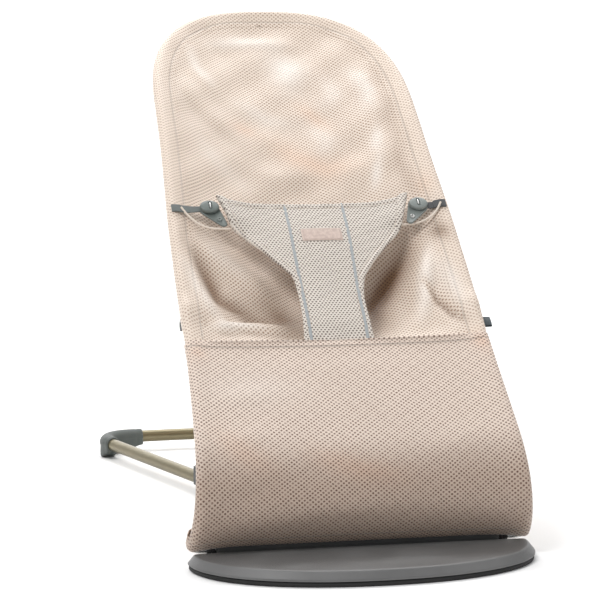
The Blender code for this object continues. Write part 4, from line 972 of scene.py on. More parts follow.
# ------------------------------------------------------------- restraint flap
F_BOTTOM = 0.296
F_LEFT = pchip(((F_BOTTOM, -0.0390), (0.335, -0.0350), (0.380, -0.0330), (0.420, -0.0345), (0.4642, -0.0559), (0.500, -0.0790),
                (0.520, -0.0925), (0.545, -0.0972), (0.5765, -0.1045)))
F_RIGHT = pchip(((F_BOTTOM, 0.0430), (0.335, 0.0395), (0.380, 0.0388), (0.418, 0.0436), (0.449, 0.0573), (0.485, 0.0800),
                 (0.512, 0.0975), (0.545, 0.1068), (0.5765, 0.1150)))
F_TOP = pchip(((-0.11, 0.5775), (-0.088, 0.5712), (-0.055, 0.5680), (0.0, 0.5655), (0.05, 0.5665), (0.085, 0.5690), (0.107, 0.5725), (0.12, 0.5785)))


def flap_base(x, s):
    """Height of the flap's middle surface over the seat's plane."""
    s = np.asarray(s, float)
    rise = np.clip((s - 0.300) / 0.05, 0, 1)
    rise = rise * rise * (3 - 2 * rise)
    belly = 0.0045 * np.exp(-((s - 0.49) / 0.07) ** 2) * np.exp(-((x - 0.006) / 0.055) ** 2)
    droop = -0.0020 * np.clip((s - 0.52) / 0.05, 0, 1) * np.exp(-((x - 0.005) / 0.06) ** 2)
    d = np.minimum(x - F_LEFT(s), F_RIGHT(s) - x)
    up = np.clip((s - 0.505) / 0.035, 0, 1)
    corner = 0.0062 * up * up * (3 - 2 * up) * np.exp(-(np.maximum(d - 0.004, 0) / 0.020) ** 2)
    return -0.0034 + 0.0044 * rise + belly + droop + corner


def flap():
    rows, cols = ((96, 101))
    half_t = 0.0017
    top, bot, uvs = [], [], []
    a = np.linspace(-1, 1, cols)
    # more columns near the edges, so that they can be rounded
    a = np.sign(a) * (1 - (1 - np.abs(a)) ** 1.35)
    for i in range(rows):
        b = i / (rows - 1)
        b = 1 - (1 - b) ** 1.18
        x0 = None
        s_mid = F_BOTTOM + b * (0.5655 - F_BOTTOM)
        # rows bend towards the top edge's own curve
        k = np.clip((b - 0.45) / 0.55, 0, 1) ** 2
        s_row = np.full(cols, s_mid)
        for _ in range(6):
            xl, xr = F_LEFT(s_row), F_RIGHT(s_row)
            x = xl + (xr - xl) * (a + 1) / 2
            s_row = s_mid + k * (F_TOP(x) - 0.5655)
        n = flap_base(x, s_row)
        d_side = np.minimum(x - xl, xr - x)
        d_top = (F_TOP(x) - s_row) * L
        d = np.minimum(d_side, np.maximum(d_top, 0))
        edge_round = np.sqrt(np.clip(1 - (1 - np.clip(d / 0.0022, 0, 1)) ** 2, 0, 1))
        bind = np.exp(-((np.minimum(d_side, d_top) - 0.0035) / 0.0026) ** 2) * (s_row > 0.40)
        groove = np.exp(-((np.minimum(d_side, d_top) - 0.0078) / 0.0009) ** 2)
        thick = half_t * (1 + 0.55 * bind - 0.22 * groove) * edge_round
        soft = 0.0003 * np.sin(x * 240 + s_row * 90) * np.sin(s_row * 500)
        top.append(place(x, s_row * L, n + thick + soft * edge_round))
        bot.append(place(x, s_row * L, n - thick))
        uvs.append(np.stack([x, s_row * L], 1))
    V = np.concatenate([np.array(top), np.array(bot)[:, ::-1]], axis=1)
    U = np.array(uvs)
    UV = np.concatenate([U, U[:, ::-1] + np.array([0.3, 0])], axis=1)
    cols2 = V.shape[1]
    faces = grid_faces(rows, cols2, wrap_cols=True)
    # close the two ends
    for i, flip in ((0, False), (rows - 1, True)):
        for j in range(cols - 1):
            f = (i * cols2 + j, i * cols2 + j + 1, i * cols2 + cols2 - 2 - j, i * cols2 + cols2 - 1 - j)
            faces.append(f if flip else f[::-1])
    ob = make("restraint_flap_pad", V.reshape(-1, 3), faces, M_FLAP, uv=UV.reshape(-1, 2), smooth=180)
    weld(ob, 1e-6)
    return fix_normals(ob)


flap_ob = flap()
B0, B1 = place(0, 0.320 * L, 0).tolist(), place(0, 0.400 * L, 0).tolist()


def on_flap(pts, lift, step=0.0015):
    flat = smooth_line([(p[0], p[1] * L, 0) for p in pts], step)
    x = np.array([p.x for p in flat])
    t = np.array([p.y for p in flat])

    def surf(x, t):
        return place(x, t, flap_base(x, t / L) + 0.0017)
    P = surf(x, t)
    h = 1e-4
    nx = np.cross(surf(x + h, t) - P, surf(x, t + h) - P)
    nx /= np.linalg.norm(nx, axis=1)[:, None]
    return [Vector(p) for p in P + nx * lift], [Vector(n) for n in nx]


for tag, line in (("left", [(-0.0283, 0.5640), (-0.0280, 0.511), (-0.0284, 0.462), (-0.0282, 0.388), (-0.0286, 0.300)]),
                  ("right", [(0.0377, 0.5650), (0.0362, 0.484), (0.0337, 0.409), (0.0334, 0.363), (0.0327, 0.300)])):
    pts, nrm = on_flap(line, 0.0002, 0.0030)
    cord = sweep("flap_piping_" + tag, pts, circle(0.00080, 10, 1.15, 0.95), M_CORD)
    # its two flat lips
    lips = []
    for side in (-1, 1):
        P = []
        for p, n in zip(pts, nrm):
            P.append(p + Vector((side * 0.0012, 0, 0)) - n * 0.00025)
        lips.append(sweep("flap_piping_lip_%s_%s" % (tag, "ab"[side > 0]), P, circle(0.00040, 8, 1.4, 0.7), M_CORD))
    both = join("flap_piping_%s_seam" % tag, [cord] + lips)
    both.data.shade_smooth()
    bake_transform(both)

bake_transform(flap_ob)
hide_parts("restraint_flap")


def welt(name, side, s_top, s_low, w_top, w_low, height):
    """The flap's side edge folded over once more near its top corner."""
    rows, k = 26, 14
    verts, uv = [], []
    for i in range(rows):
        b = i / (rows - 1)
        sv = s_top + (s_low - s_top) * b
        ease = min(1.0, math.sin(math.pi * min(b * 6, 0.5)), math.sin(math.pi * min((1 - b) * 3, 0.5)))
        w = (w_top + (w_low - w_top) * b) * (0.35 + 0.65 * ease)
        h = height * (0.2 + 0.8 * ease)
        edge_x = float(F_LEFT(sv)) if side < 0 else float(F_RIGHT(sv))
        for j in range(k):
            a = j / (k - 1)
            x = edge_x - side * w * a
            y_up = h * (1 - abs(2 * a - 1) ** 3.2) ** 0.6
            n = float(flap_base(x, sv)) + 0.0006 + 0.0011 * min(1, a * 5) + y_up
            verts.append(place(x, sv * L, n))
            uv.append((x * 0.96 + 0.002, sv * L + 0.001))
        for a in (0.92, 0.5, 0.08):
            x = edge_x - side * w * a
            verts.append(place(x, sv * L, float(flap_base(x, sv)) - 0.0004))
            uv.append((x, sv * L))
    m = k + 3
    faces = grid_faces(rows, m, wrap_cols=True)
    faces.append(tuple(range(m)))
    faces.append(tuple((rows - 1) * m + j for j in reversed(range(m))))
    ob = fix_normals(make(name, verts, faces, M_FLAP, uv=uv, smooth=70))
    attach(ob, "back")


welt("flap_folded_edge_left", -1, 0.5765, 0.500, 0.0095, 0.0040, 0.0028)
welt("flap_folded_edge_right", 1, 0.5765, 0.508, 0.0120, 0.0065, 0.0018)


# flap's own stitching, inside its bound edges
def flap_edge_line(inset, s_from=0.335):
    left = [(float(F_LEFT(s)) + inset, float(s)) for s in np.linspace(s_from, 0.5655 - inset / L, 22)]
    right = [(float(F_RIGHT(s)) - inset, float(s)) for s in np.linspace(0.5655 - inset / L, s_from, 22)]
    return left, right


for tag, line in zip(("left", "right"), flap_edge_line(0.0079)):
    pts, nrm = on_flap(line, 0.0000)
    st = stitches("flap_edge_stitching_" + tag, pts, nrm, M_THREAD, 0.0032, 0.0022, 0.00026)
    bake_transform(st)
line = [(float(x), float(F_TOP(x)) - 0.0079 / L) for x in np.linspace(-0.093, 0.103, 20)]
pts, nrm = on_flap(line, 0.0002)
st = stitches("flap_top_stitching", pts, nrm, M_THREAD, 0.0032, 0.0022, 0.00026)
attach(st, "back")


# sewn patch, no lettering
def patch_material():
    N = Nodes("rose_satin_patch")
    uv = N.uv()
    s = N.add("ShaderNodeSeparateXYZ", None, Vector=uv)
    rib = N.math("SINE", N.math("MULTIPLY", s.outputs[1], 2 * math.pi / 0.0009))
    grain = N.noise(uv, 260.0, 3.0).outputs[0]
    col = N.mix(N.ramp(grain, 0.3, 0.7), (0.53, 0.40, 0.345), (0.66, 0.525, 0.455))
    e = N.edge()
    frame_line = N.math("MULTIPLY", N.ramp(e, 0.0012, 0.0016), N.ramp(e, 0.0026, 0.0022))
    col = N.mix(N.math("MULTIPLY", frame_line, 0.35), col, (0.36, 0.26, 0.22))
    return N.out(color=col, rough=0.5, normal=N.bump(N.math("ADD", rib, grain), 0.0002, 0.5), sheen=0.3)


def patch():
    M = patch_material()
    x0, x1, s0, s1 = -0.0166, 0.0288, 0.4893, 0.5120
    nx, ns = 25, 13
    V, UV, E = [], [], []
    for layer in (0.0012, 0.0004):
        for i in range(ns):
            for j in range(nx):
                a, b = j / (nx - 1), i / (ns - 1)
                x, s = x0 + (x1 - x0) * a, s0 + (s1 - s0) * b
                e = min(a, 1 - a) * (x1 - x0), min(b, 1 - b) * (s1 - s0) * L
                d = min(e)
                lift = layer if layer < 0.001 else layer - 0.0005 * math.exp(-(d / 0.0006))
                V.append(place(x, s * L, float(flap_base(x, s)) + 0.0017 + lift))
                UV.append((x, s * L))
                E.append(d)
    faces = grid_faces(ns, nx)
    m = nx * ns
    faces += [tuple(m + k for k in f)[::-1] for f in grid_faces(ns, nx)]
    loop = [j for j in range(nx)] + [i * nx + nx - 1 for i in range(1, ns)] + \
           [(ns - 1) * nx + j for j in range(nx - 2, -1, -1)] + [i * nx for i in range(ns - 2, 0, -1)]
    for k in range(len(loop)):
        a, b = loop[k], loop[(k + 1) % len(loop)]
        faces.append((b, a, m + a, m + b))
    ob = fix_normals(make("flap_sewn_patch", V, faces, M, uv=UV, edge=E, smooth=50))
    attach(ob, "back")
    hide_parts("flap_patch")


patch()

# ------------------------------------------------------------------- buckles
T_B, N_B = dirs(S_BUTTON)
O_B = Vector(place(0, S_BUTTON * L, 0).tolist())
MID_B = 0.0053784
BUTTON_X = 0.119


def at_button(x, t, n):
    return Vector((x, 0, 0)) + O_B + T_B * t + N_B * n


def hull2(circles, count=40):
    pts = sorted({(round(u + r * math.cos(2 * math.pi * k / count), 8), round(v + r * math.sin(2 * math.pi * k / count), 8))
                  for u, v, r in circles for k in range(count)})

    def half(seq):
        out = []
        for p in seq:
            while len(out) > 1 and ((out[-1][0] - out[-2][0]) * (p[1] - out[-2][1])
                                    - (out[-1][1] - out[-2][1]) * (p[0] - out[-2][0])) <= 1e-13:
                out.pop()
            out.append(p)
        return out[:-1]
    return half(pts) + half(reversed(pts))


def resample(poly, count):
    P = np.array(poly + [poly[0]])
    run = np.concatenate([[0], np.cumsum(np.linalg.norm(np.diff(P, axis=0), axis=1))])
    at = np.linspace(0, run[-1], count + 1)[:-1]
    return [(float(np.interp(a, run, P[:, 0])), float(np.interp(a, run, P[:, 1]))) for a in at]


def shrink(poly, d):
    """Inset a convex closed outline given counter-clockwise."""
    P = np.array(poly)
    nxt, prv = np.roll(P, -1, 0), np.roll(P, 1, 0)
    tan = nxt - prv
    tan /= np.linalg.norm(tan, axis=1)[:, None]
    nrm = np.stack([-tan[:, 1], tan[:, 0]], 1)
    return [tuple(p) for p in P + nrm * d]


def buckle(side):
    tag = "left" if side < 0 else "right"
    cx = MID_B + side * BUTTON_X
    d = Vector((-side * 0.5, -0.866, 0)).normalized()
    # the right plate and button in the painted-lit copy of the plastic
    mat = M_BUTTON if side < 0 else M_BUTTON_PAINTED_LIT
    # plate: teardrop with a raised lip
    base = hull2([(cx, 0, 0.0112), (cx + d.x * 0.0262, d.y * 0.0262, 0.0042)], 48)
    base = resample(base, 96)
    stack = [(0.0006, 0.0030), (0.0, 0.0034), (0.0, 0.0044), (0.0005, 0.0050), (0.0012, 0.0051), (0.0017, 0.0048), (0.0024, 0.0045)]
    loops = [[at_button(x, t, n) for x, t in shrink(base, inset)] for inset, n in stack]
    plate = rings("keyhole_plate_%s_body" % tag, loops, mat, smooth=60)
    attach(plate, "back")
    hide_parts("keyhole_plate_" + tag)
    # rivet with a ring and a small dimple; the left one in the painted-lit copy of the plastic
    c = at_button(cx + d.x * 0.0190, d.y * 0.0190, 0.0045)
    riv = lathe("plate_rivet_%s_head" % tag, [(0, 0.0002), (0.0009, 0.0002), (0.0011, 0.0012), (0.0018, 0.0015), (0.0024, 0.0013),
                                              (0.0028, 0.0006), (0.0029, 0.0), (0, 0.0)], c, N_B, M_STEEL if side > 0 else M_BUTTON_PAINTED_LIT, 32)
    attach(riv, "back")
    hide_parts("plate_rivet_" + tag)
    # button: domed oval with a recessed slot and a bright bar in it
    k = 72
    prof = [(0.86, 0.0052), (0.97, 0.0056), (1.0, 0.0066), (1.0, 0.0078), (0.985, 0.0086), (0.94, 0.0094), (0.86, 0.0099),
            (0.70, 0.0102), (0.50, 0.0104), (0.25, 0.0105), (0.0, 0.0105)]
    ax, at_ = 0.0108, 0.0085
    loops = []
    for f, n in prof[:-1]:
        loops.append([at_button(cx + f * ax * math.cos(2 * math.pi * j / k), f * at_ * math.sin(2 * math.pi * j / k), n) for j in range(k)])
    cap = rings("strap_button_%s_cap" % tag, loops, mat, smooth=50)
    # recess cut
    cut = hull2([(cx - side * 0.0006, 0.0038, 0.0021), (cx - side * 0.0006, -0.0036, 0.0021)], 20)
    tool = rings("cut", [[at_button(x, t, n) for x, t in cut] for n in (0.0090, 0.0120)], mat)
    b = cap.modifiers.new("slot", "BOOLEAN")
    b.operation, b.solver, b.object = "DIFFERENCE", "EXACT", tool
    apply_all(cap)
    cap.data.shade_smooth()
    cap.data.set_sharp_from_angle(angle=math.radians(40))
    bpy.data.objects.remove(tool, do_unlink=True)
    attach(cap, "button_" + tag)
    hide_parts("strap_button_" + tag)
    bar = hull2([(cx - side * 0.0006, 0.0036, 0.0009), (cx - side * 0.0006, -0.0024, 0.0009)], 16)
    bars = rings("strap_button_%s_mark" % tag, [[at_button(x, t, n) for x, t in bar] for n in (0.0088, 0.0100)] +
                 [[at_button(cx - side * 0.0006 + (x - cx + side * 0.0006) * 0.6, t * 0.92, 0.0104) for x, t in bar]],
                 M_STEEL, smooth=50)
    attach(bars, "button_" + tag)


for side in (-1, 1):
    buckle(side)


def ribbon(name, line, widths, thick, mat, body, replaces=None):
    """Flat woven tape along a line of (x, t, n) on the button's local plane."""
    P = smooth_line([at_button(*p) for p in line], 0.0012)
    count = len(P)
    verts, uv = [], []
    w = np.interp(np.linspace(0, 1, count), np.linspace(0, 1, len(widths)), widths)
    run = 0.0
    for i, p in enumerate(P):
        d = (P[min(i + 1, count - 1)] - P[max(i - 1, 0)]).normalized()
        across = T_B - d * T_B.dot(d)
        across.normalize()
        n = d.cross(across)
        if n.dot(N_B) < 0:
            n = -n
        if i:
            run += (p - P[i - 1]).length
        h, k = w[i] / 2, thick / 2
        sec = [(-h, 0), (-h * 0.94, k), (-h * 0.5, k), (0, k), (h * 0.5, k), (h * 0.94, k), (h, 0),
               (h * 0.94, -k), (0, -k), (-h * 0.94, -k)]
        for a, b in sec:
            verts.append(p + across * a + n * b)
            uv.append((a, run))
    m = 10
    faces = grid_faces(count, m, wrap_cols=True)
    faces.append(tuple(reversed(range(m))))
    faces.append(tuple((count - 1) * m + j for j in range(m)))
    ob = fix_normals(make(name, verts, faces, mat, uv=uv, smooth=60))
    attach(ob, body)
    if replaces:
        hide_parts(replaces)
    return ob


w0 = float(tube_x(S_BUTTON * L))
# the left strap in the painted-lit webbing, the right one in the painted-shade webbing
ribbon("strap_webbing_left_tape", [(-w0 - 0.0022, -0.001, 0.0078), (-w0 + 0.003, -0.001, 0.0080), (-w0 + 0.012, -0.001, 0.0058), (-0.1330, -0.0005, 0.0044),
                                   (-0.1200, 0.0, 0.0042)],
       [0.0105, 0.0105, 0.0100, 0.0082, 0.0078], 0.0014, M_STRAP_PAINTED_LIT, "back", "strap_webbing_left")
ribbon("strap_webbing_right_tape", [(w0 + 0.0022, 0.0, 0.0078), (w0 - 0.003, 0.0, 0.0080), (w0 - 0.011, 0.0, 0.0062), (0.1440, 0.0, 0.0048),
                                    (0.1350, 0.0, 0.0042)],
       [0.0110, 0.0110, 0.0105, 0.0095, 0.0090], 0.0015, M_STRAP_PAINTED_SHADE, "back", "strap_webbing_right")

# bound edges under the buckles
for tag, line in (("left", [(-0.1455, 0.5560), (-0.1395, 0.5460), (-0.1302, 0.5335), (-0.1205, 0.5262), (-0.1090, 0.5225), (-0.0930, 0.5205)]),
                  ("right", [(0.1500, 0.5560), (0.1445, 0.5450), (0.1370, 0.5365), (0.1284, 0.5305), (0.1172, 0.5255), (0.1010, 0.5225)])):
    flat = smooth_line([(p[0], p[1] * L, 0) for p in line], 0.002)
    x = np.array([p.x for p in flat])
    t = np.array([p.y for p in flat])
    share = np.linspace(0, 1, len(flat))
    n = 0.0052 * (1 - share) ** 2 + 0.0016 + cover_n(x, t, inward(x, t)) * (1 - share) ** 1.5 * 0.6
    P = [Vector(p) for p in place(x, t, n)]
    pipe = sweep("cover_bound_edge_" + tag, P, circle(0.00125, 12), M_PIPE)
    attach(pipe, "back")


# ------------------------------------------------------------------- side tag
def side_tag():
    x0 = float(np.interp(0.340 * L, RT, RX)) - 0.0006
    ts = (0.3310 * L, 0.3470 * L)
    ys = np.linspace(0, 1, 15)
    loops = []
    verts, uv = [], []
    m = 12
    for t in np.linspace(*ts, m):
        for out_x in np.concatenate([ys, ys[::-1][1:-1]]):
            pass
    # a folded loop of tape: out along the front, back along the rear
    prof = [(0.0, 0.0016), (0.003, 0.0017), (0.006, 0.0016), (0.0078, 0.0013), (0.0086, 0.0005), (0.0086, -0.0003), (0.0078, -0.0009),
            (0.006, -0.0011), (0.003, -0.0012), (0.0, -0.0012)]
    P = []
    for t in np.linspace(*ts, m):
        for a, n in prof:
            P.append(place(x0 + a, t, n + 0.0006 * math.sin((t - ts[0]) * 300)))
            uv.append((t, a + n))
    ob = make("side_tag_loop", P, grid_faces(m, len(prof)), M_TAG, uv=uv, smooth=60)
    k = ob.modifiers.new("thickness", "SOLIDIFY")
    k.thickness, k.offset = 0.0005, 0
    apply_all(ob)
    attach(ob, "lower_frame")
    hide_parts("side_tag")


side_tag()


# ----------------------------------------------------------------- base plate
PW, PY, PF, PR = 0.181, -0.287, 0.108, 0.008


def half_moon(inset, count=150, rear=PR):
    a, bf, br = PW - inset, PF - inset, max(rear - inset, 0.002)
    pts = []
    for k in range(count):
        t = math.pi * k / (count - 1)
        c, s = math.cos(t), math.sin(t)
        pts.append((a * math.copysign(abs(c) ** (2 / 2.15), c), PY - bf * s ** (2 / 2.15)))
    for k in range(1, 30):
        t = math.pi * k / 30
        c, s = -math.cos(t), math.sin(t)
        pts.append((a * math.copysign(abs(c) ** (2 / 3.0), c), PY + br * s ** (2 / 3.0)))
    return pts


plate_stack = [(0.0012, 0.0052), (0.0002, 0.0054), (0.0, 0.0060), (0.0001, 0.0072), (0.0008, 0.0082), (0.0024, 0.0101), (0.0040, 0.0120),
               (0.0052, 0.0136), (0.0060, 0.0145), (0.0070, 0.0151), (0.0085, 0.0154), (0.0110, 0.0155), (0.0200, 0.01555)]
plate_ob = rings("base_plate_shell", [[Vector((x, y, z)) for x, y in half_moon(i)] for i, z in plate_stack], M_PLATE, smooth=50)
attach(plate_ob, "base")
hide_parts("base_plate_top")


def rim_outline(inset, count=150):
    a, bf = PW - inset, PF - inset
    pts = []
    for k in range(count):
        t = math.pi * k / (count - 1)
        c, s = math.cos(t), math.sin(t)
        pts.append((a * math.copysign(abs(c) ** (2 / 2.15), c), PY - bf * s ** (2 / 2.15)))
    r, top, xw = 0.030, -0.2395 - inset, 0.1500 - inset
    for k in range(12):
        t = math.pi / 2 * k / 11
        pts.append((-xw + r - r * math.cos(t), top - r + r * math.sin(t)))
    for k in range(12):
        t = math.pi / 2 * k / 11
        pts.append((xw - r + r * math.sin(t), top - r + r * math.cos(t)))
    return pts


rim_stack = [(0.0093, 0.0046), (0.0093, 0.0006), (0.0087, 0.0), (0.0026, 0.0), (0.0014, 0.0004), (0.0011, 0.0012), (0.0012, 0.0040), (0.0016, 0.0046)]
loops = [[Vector((x, y, z)) for x, y in rim_outline(i)] for i, z in rim_stack]
m = len(loops[0])
faces = grid_faces(len(loops), m, wrap_cols=True) + [((len(loops) - 1) * m + j, (len(loops) - 1) * m + (j + 1) % m, (j + 1) % m, j) for j in range(m)]
rim_ob = fix_normals(make("base_soft_rim", [p for l in loops for p in l], faces, M_RIM, smooth=60))
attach(rim_ob, "base")
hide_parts("base_rubber_rim")


# ------------------------------------------------------------------ base tube
def filleted(corners, radii, arc=10):
    pts = [Vector(corners[0])]
    for i in range(1, len(corners) - 1):
        a, b, c = Vector(corners[i - 1]), Vector(corners[i]), Vector(corners[i + 1])
        u, v = (a - b).normalized(), (c - b).normalized()
        half = u.angle(v) / 2
        reach = radii[i - 1] / math.tan(half)
        mid = b + (u + v).normalized() * (radii[i - 1] / math.sin(half))
        p, q = b + u * reach, b + v * reach
        mm, n = p - mid, q - mid
        turn = mm.angle(n)
        axis = mm.cross(n).normalized()
        for k in range(arc + 1):
            pts.append(mid + Matrix.Rotation(turn * k / arc, 3, axis) @ mm)
    pts.append(Vector(corners[-1]))
    return pts


def clean(path, least=0.0005):
    out = [path[0]]
    for p in path[1:]:
        if (p - out[-1]).length > least:
            out.append(p)
    return out


def even(path, step):
    """Resample a polyline evenly, so that long straight runs keep a fine mesh."""
    P = np.array([tuple(p) for p in path])
    run = np.concatenate([[0], np.cumsum(np.linalg.norm(np.diff(P, axis=0), axis=1))])
    at = np.linspace(0, run[-1], max(2, int(run[-1] / step)))
    return [Vector([float(np.interp(a, run, P[:, c])) for c in range(3)]) for a in at]


TZ, CORNER_X, REAR_Y, BOW = 0.0180, 0.190, 0.3875, 0.010
bow_r = (CORNER_X ** 2 + BOW ** 2) / (2 * BOW)


def bow(x):
    return REAR_Y - bow_r + math.sqrt(bow_r ** 2 - x * x)


half_path = filleted([(0.0600, -0.2560, TZ), (0.0600, -0.055, TZ), (CORNER_X, bow(CORNER_X), TZ), (0.10, bow(0.10), TZ), (0.0, REAR_Y, TZ)],
                     (0.10, 0.034, 0.9), 18)
BASE = clean(half_path + [Vector((-p.x, p.y, p.z)) for p in reversed(half_path[:-1])])
tube_ob = sweep("base_tube_painted", even(BASE, 0.006), circle(0.0075, 32), M_BRONZE)
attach(tube_ob, "base")
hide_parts("base_tube")


def foot(side):
    line = clean(half_path)
    run = [0.0]
    for p, q in zip(line, line[1:]):
        run.append(run[-1] + (q - p).length)
    near = min(range(len(line)), key=lambda i: (line[i] - Vector((CORNER_X, bow(CORNER_X), TZ))).length)
    mid = run[near]
    arr = np.array([tuple(p) for p in line])
    r0 = 0.0098
    lo, hi = mid - 0.042, mid + 0.048
    at = [lo + 0.0, lo + 0.0004, lo + 0.0012, lo + 0.0024] + list(np.linspace(lo + 0.004, hi - 0.004, 50)) + [hi - 0.0024, hi - 0.0012, hi - 0.0004, hi]
    size = [0.87, 0.93, 0.975, 0.995] + [1.0] * 50 + [0.995, 0.975, 0.93, 0.87]
    sec = []
    for k in range(37):
        t = math.radians(-22 + 224 * k / 36)
        sec.append((r0 * math.cos(t), r0 * math.sin(t)))
    low = TZ
    sec += [(-r0 * 0.955, -0.0120), (-r0 * 0.93, -0.0160), (-r0 * 0.86, -low + 0.0004), (-r0 * 0.78, -low), (0, -low), (r0 * 0.78, -low),
            (r0 * 0.86, -low + 0.0004), (r0 * 0.93, -0.0160), (r0 * 0.955, -0.0120)]
    m = len(sec)
    verts = []
    for i, a in enumerate(at):
        p = Vector([float(np.interp(a, run, arr[:, c])) for c in range(3)])
        q1 = Vector([float(np.interp(a + 0.0015, run, arr[:, c])) for c in range(3)])
        q0 = Vector([float(np.interp(a - 0.0015, run, arr[:, c])) for c in range(3)])
        d = (q1 - q0).normalized()
        nrm = Vector((-d.y, d.x, 0))
        # a shallow groove near each mouth
        away = min(max((abs(a - mid) - 0.020) / (0.028 if a > mid else 0.022), 0.0), 1.0)
        sole = 1 - away * away * (3 - 2 * away) * (1 - r0 / TZ)
        g = 1 - 0.05 * math.exp(-((a - lo - 0.008) / 0.0009) ** 2) - 0.05 * math.exp(-((hi - a - 0.008) / 0.0009) ** 2)
        for u, v in sec:
            vv = v * sole if v <= -0.0045 else v * size[i] * g
            verts.append((side * (p.x + nrm.x * u * size[i] * g), p.y + nrm.y * u * size[i] * g, TZ + vv))
    faces = grid_faces(len(at), m, wrap_cols=True)
    faces.append(tuple(range(m)))
    faces.append(tuple((len(at) - 1) * m + j for j in reversed(range(m))))
    ob = fix_normals(make("rear_foot_%s_sleeve" % ("left" if side < 0 else "right"), verts, faces, M_RUBBER, smooth=50))
    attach(ob, "base")
    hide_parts("rear_foot_" + ("left" if side < 0 else "right"))


for side in (-1, 1):
    foot(side)

# ----------------------------------------------------------- wires and strut
PIVOT_X = float(tube_x(S_PIVOT * L))
tan0, nor0 = dirs(0)
for side, tag in ((-1, "left"), (1, "right")):
    pts = []
    bend = 0.010
    tx = float(tube_x(0.0))
    for x in (0.1255, 0.145, tx - bend):
        pts.append(Vector((side * x, HINGE.y, HINGE.z)))
    for k in range(1, 10):
        f = math.pi / 2 * k / 9
        al = bend * (1 - math.cos(f))
        pts.append(Vector((side * (tx - bend + bend * math.sin(f)), HINGE.y + al * tan0.y, HINGE.z + al * tan0.z)))
    stop = S_PIVOT - 0.0125 / L
    for s in list(np.linspace(0.006, 0.17, 40)) + list(np.linspace(0.18, stop, 26)):
        p = place(side * float(tube_x(s * L)), s * L, 0)
        pts.append(Vector(p.tolist()))
    wire = sweep("side_wire_%s_round" % tag, pts, circle(0.004, 20), M_WIRE)
    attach(wire, "lower_frame")
    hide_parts("side_wire_" + tag)
    o = Vector((side * 0.1503, HINGE.y, HINGE.z))
    bush = lathe("hinge_bushing_%s_collar" % tag, [(0.0043, 0.0), (0.0058, 0.0), (0.0062, 0.0005), (0.0062, 0.0028), (0.0056, 0.0033), (0.0056, 0.0044),
                                                  (0.0062, 0.0049), (0.0062, 0.0075), (0.0056, 0.0085), (0.0048, 0.0087), (0.0043, 0.0085), (0.0043, 0.0)],
                 o, (side, 0, 0), M_DARK, 40)
    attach(bush, "base")
    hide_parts("hinge_bushing_" + tag)

loop_pts = []
low = np.linspace(S_PIVOT * L + 0.0160, 0.70 * L, 40)
for t in low:
    loop_pts.append(Vector(place(float(tube_x(t)), t, 0).tolist()))
rx, rt, rex, ret = rim(90, 0.70 * L)
for x, t, ex, et in list(zip(rx, rt, rex, ret))[2:]:
    loop_pts.append(Vector(place(x - WRAP * ex, t - WRAP * et, 0).tolist()))
loop_pts[-1].x = 0.0
loop_full = clean(loop_pts + [Vector((-p.x, p.y, p.z)) for p in reversed(loop_pts[:-1])], 0.001)
loop_ob = sweep("seat_loop_round", loop_full, circle(0.005, 20), M_BRONZE)
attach(loop_ob, "back")
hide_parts("seat_loop_tube")

STRUT_TOP = Vector((0, -0.130583, 0.227887))
BAR = Vector((0, -0.004421, 0.0405))
corners = []
for side in (1, -1):
    ends = [(side * (PIVOT_X + 0.0035), STRUT_TOP.y, STRUT_TOP.z), (side * 0.119, STRUT_TOP.y, STRUT_TOP.z), (side * 0.119, BAR.y, BAR.z)]
    corners += ends if side > 0 else ends[::-1]
strut_line = clean(filleted(corners, (0.009, 0.014, 0.014, 0.009), 12))
strut_ob = sweep("strut_round", even(strut_line, 0.003), circle(0.0035, 20), M_WIRE)
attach(strut_ob, "strut")
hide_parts("strut_bracket")
for side, tag in ((-1, "left"), (1, "right")):
    sl = lathe("strut_sleeve_%s_tube" % tag, [(0.0038, 0.0), (0.0048, 0.0), (0.0054, 0.0008), (0.0055, 0.003), (0.0055, 0.038), (0.0054, 0.0402), (0.0048, 0.041),
                                             (0.0038, 0.041), (0.0038, 0.0)],
               (side * 0.062, BAR.y, BAR.z), (side, 0, 0), M_DARK, 36)
    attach(sl, "strut")
    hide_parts("strut_sleeve_" + tag)

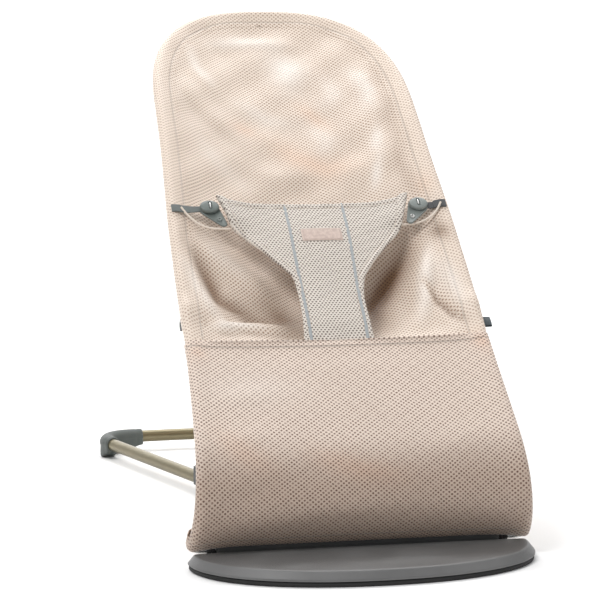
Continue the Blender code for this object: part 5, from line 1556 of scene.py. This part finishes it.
# ------------------------------------------------ materials of carried-over CAD
KEEP = {"base_plate_underside": M_DARK, "hinge_housing_lower": M_GREY, "hinge_housing_upper": M_GREY,
        "notch_bracket_left": M_GREY, "notch_bracket_right": M_GREY, "pivot_block_left": M_GREY, "pivot_block_right": M_GREY,
        "loop_socket_left": M_GREY, "loop_socket_right": M_GREY}
for name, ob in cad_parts.items():
    if ob.hide_render:
        continue
    ob.data.materials.clear()
    ob.data.materials.append(KEEP.get(name, M_STEEL))
    ob.data.shade_smooth()
    ob.data.set_sharp_from_angle(angle=math.radians(32))


# ------------------------------------------------------------ floor and light
def stage():
    N = Nodes("floor_paper")
    o = N.obj()
    g = N.noise(o, 3.0, 2.0).outputs[0]
    col = N.mix(N.ramp(g, 0.3, 0.7), (0.93, 0.93, 0.93), (0.95, 0.95, 0.95))
    N.out(color=col, rough=0.9, spec=0.1)
    verts, faces = [], []
    prof = [(-6.0, 0.0), (2.6, 0.0)] + [(2.6 + 1.4 * math.sin(a), 1.4 - 1.4 * math.cos(a)) for a in np.linspace(0, math.pi / 2, 14)[1:]] + [(4.0, 6.0)]
    for y, z in prof:
        verts += [(-8, y, z - 0.0004), (8, y, z - 0.0004)]
    for i in range(len(prof) - 1):
        faces.append((2 * i, 2 * i + 1, 2 * i + 3, 2 * i + 2))
    ob = make("floor", verts, faces, N.mat, smooth=60)
    world = bpy.data.worlds.new("studio")
    bpy.context.scene.world = world
    world.use_nodes = True
    bg = world.node_tree.nodes["Background"]
    bg.inputs[0].default_value = (1.0, 1.0, 1.0, 1)
    bg.inputs[1].default_value = 0.42

    def area(name, at, aim, size, power, colour=(1, 1, 1)):
        data = bpy.data.lights.new(name, "AREA")
        data.shape, data.size, data.size_y = "RECTANGLE", size[0], size[1]
        data.energy, data.color = power, colour
        ob = link(bpy.data.objects.new(name, data))
        ob.location = at
        ob.rotation_euler = (Vector(aim) - Vector(at)).to_track_quat("-Z", "Y").to_euler()
    area("key", (-1.5, -1.4, 2.7), (0, 0, 0.3), (1.1, 1.1), 43)
    area("fill", (2.2, -1.2, 1.9), (0, 0, 0.25), (1.6, 1.6), 9)
    area("top", (0.2, 0.9, 2.8), (0, 0.1, 0.2), (2.2, 1.6), 20)
    area("wash", (0.0, 2.2, 3.6), (0.0, 4.0, 0.9), (5.0, 2.0), 190)
    bpy.context.scene.view_settings.view_transform = "Standard"


stage()
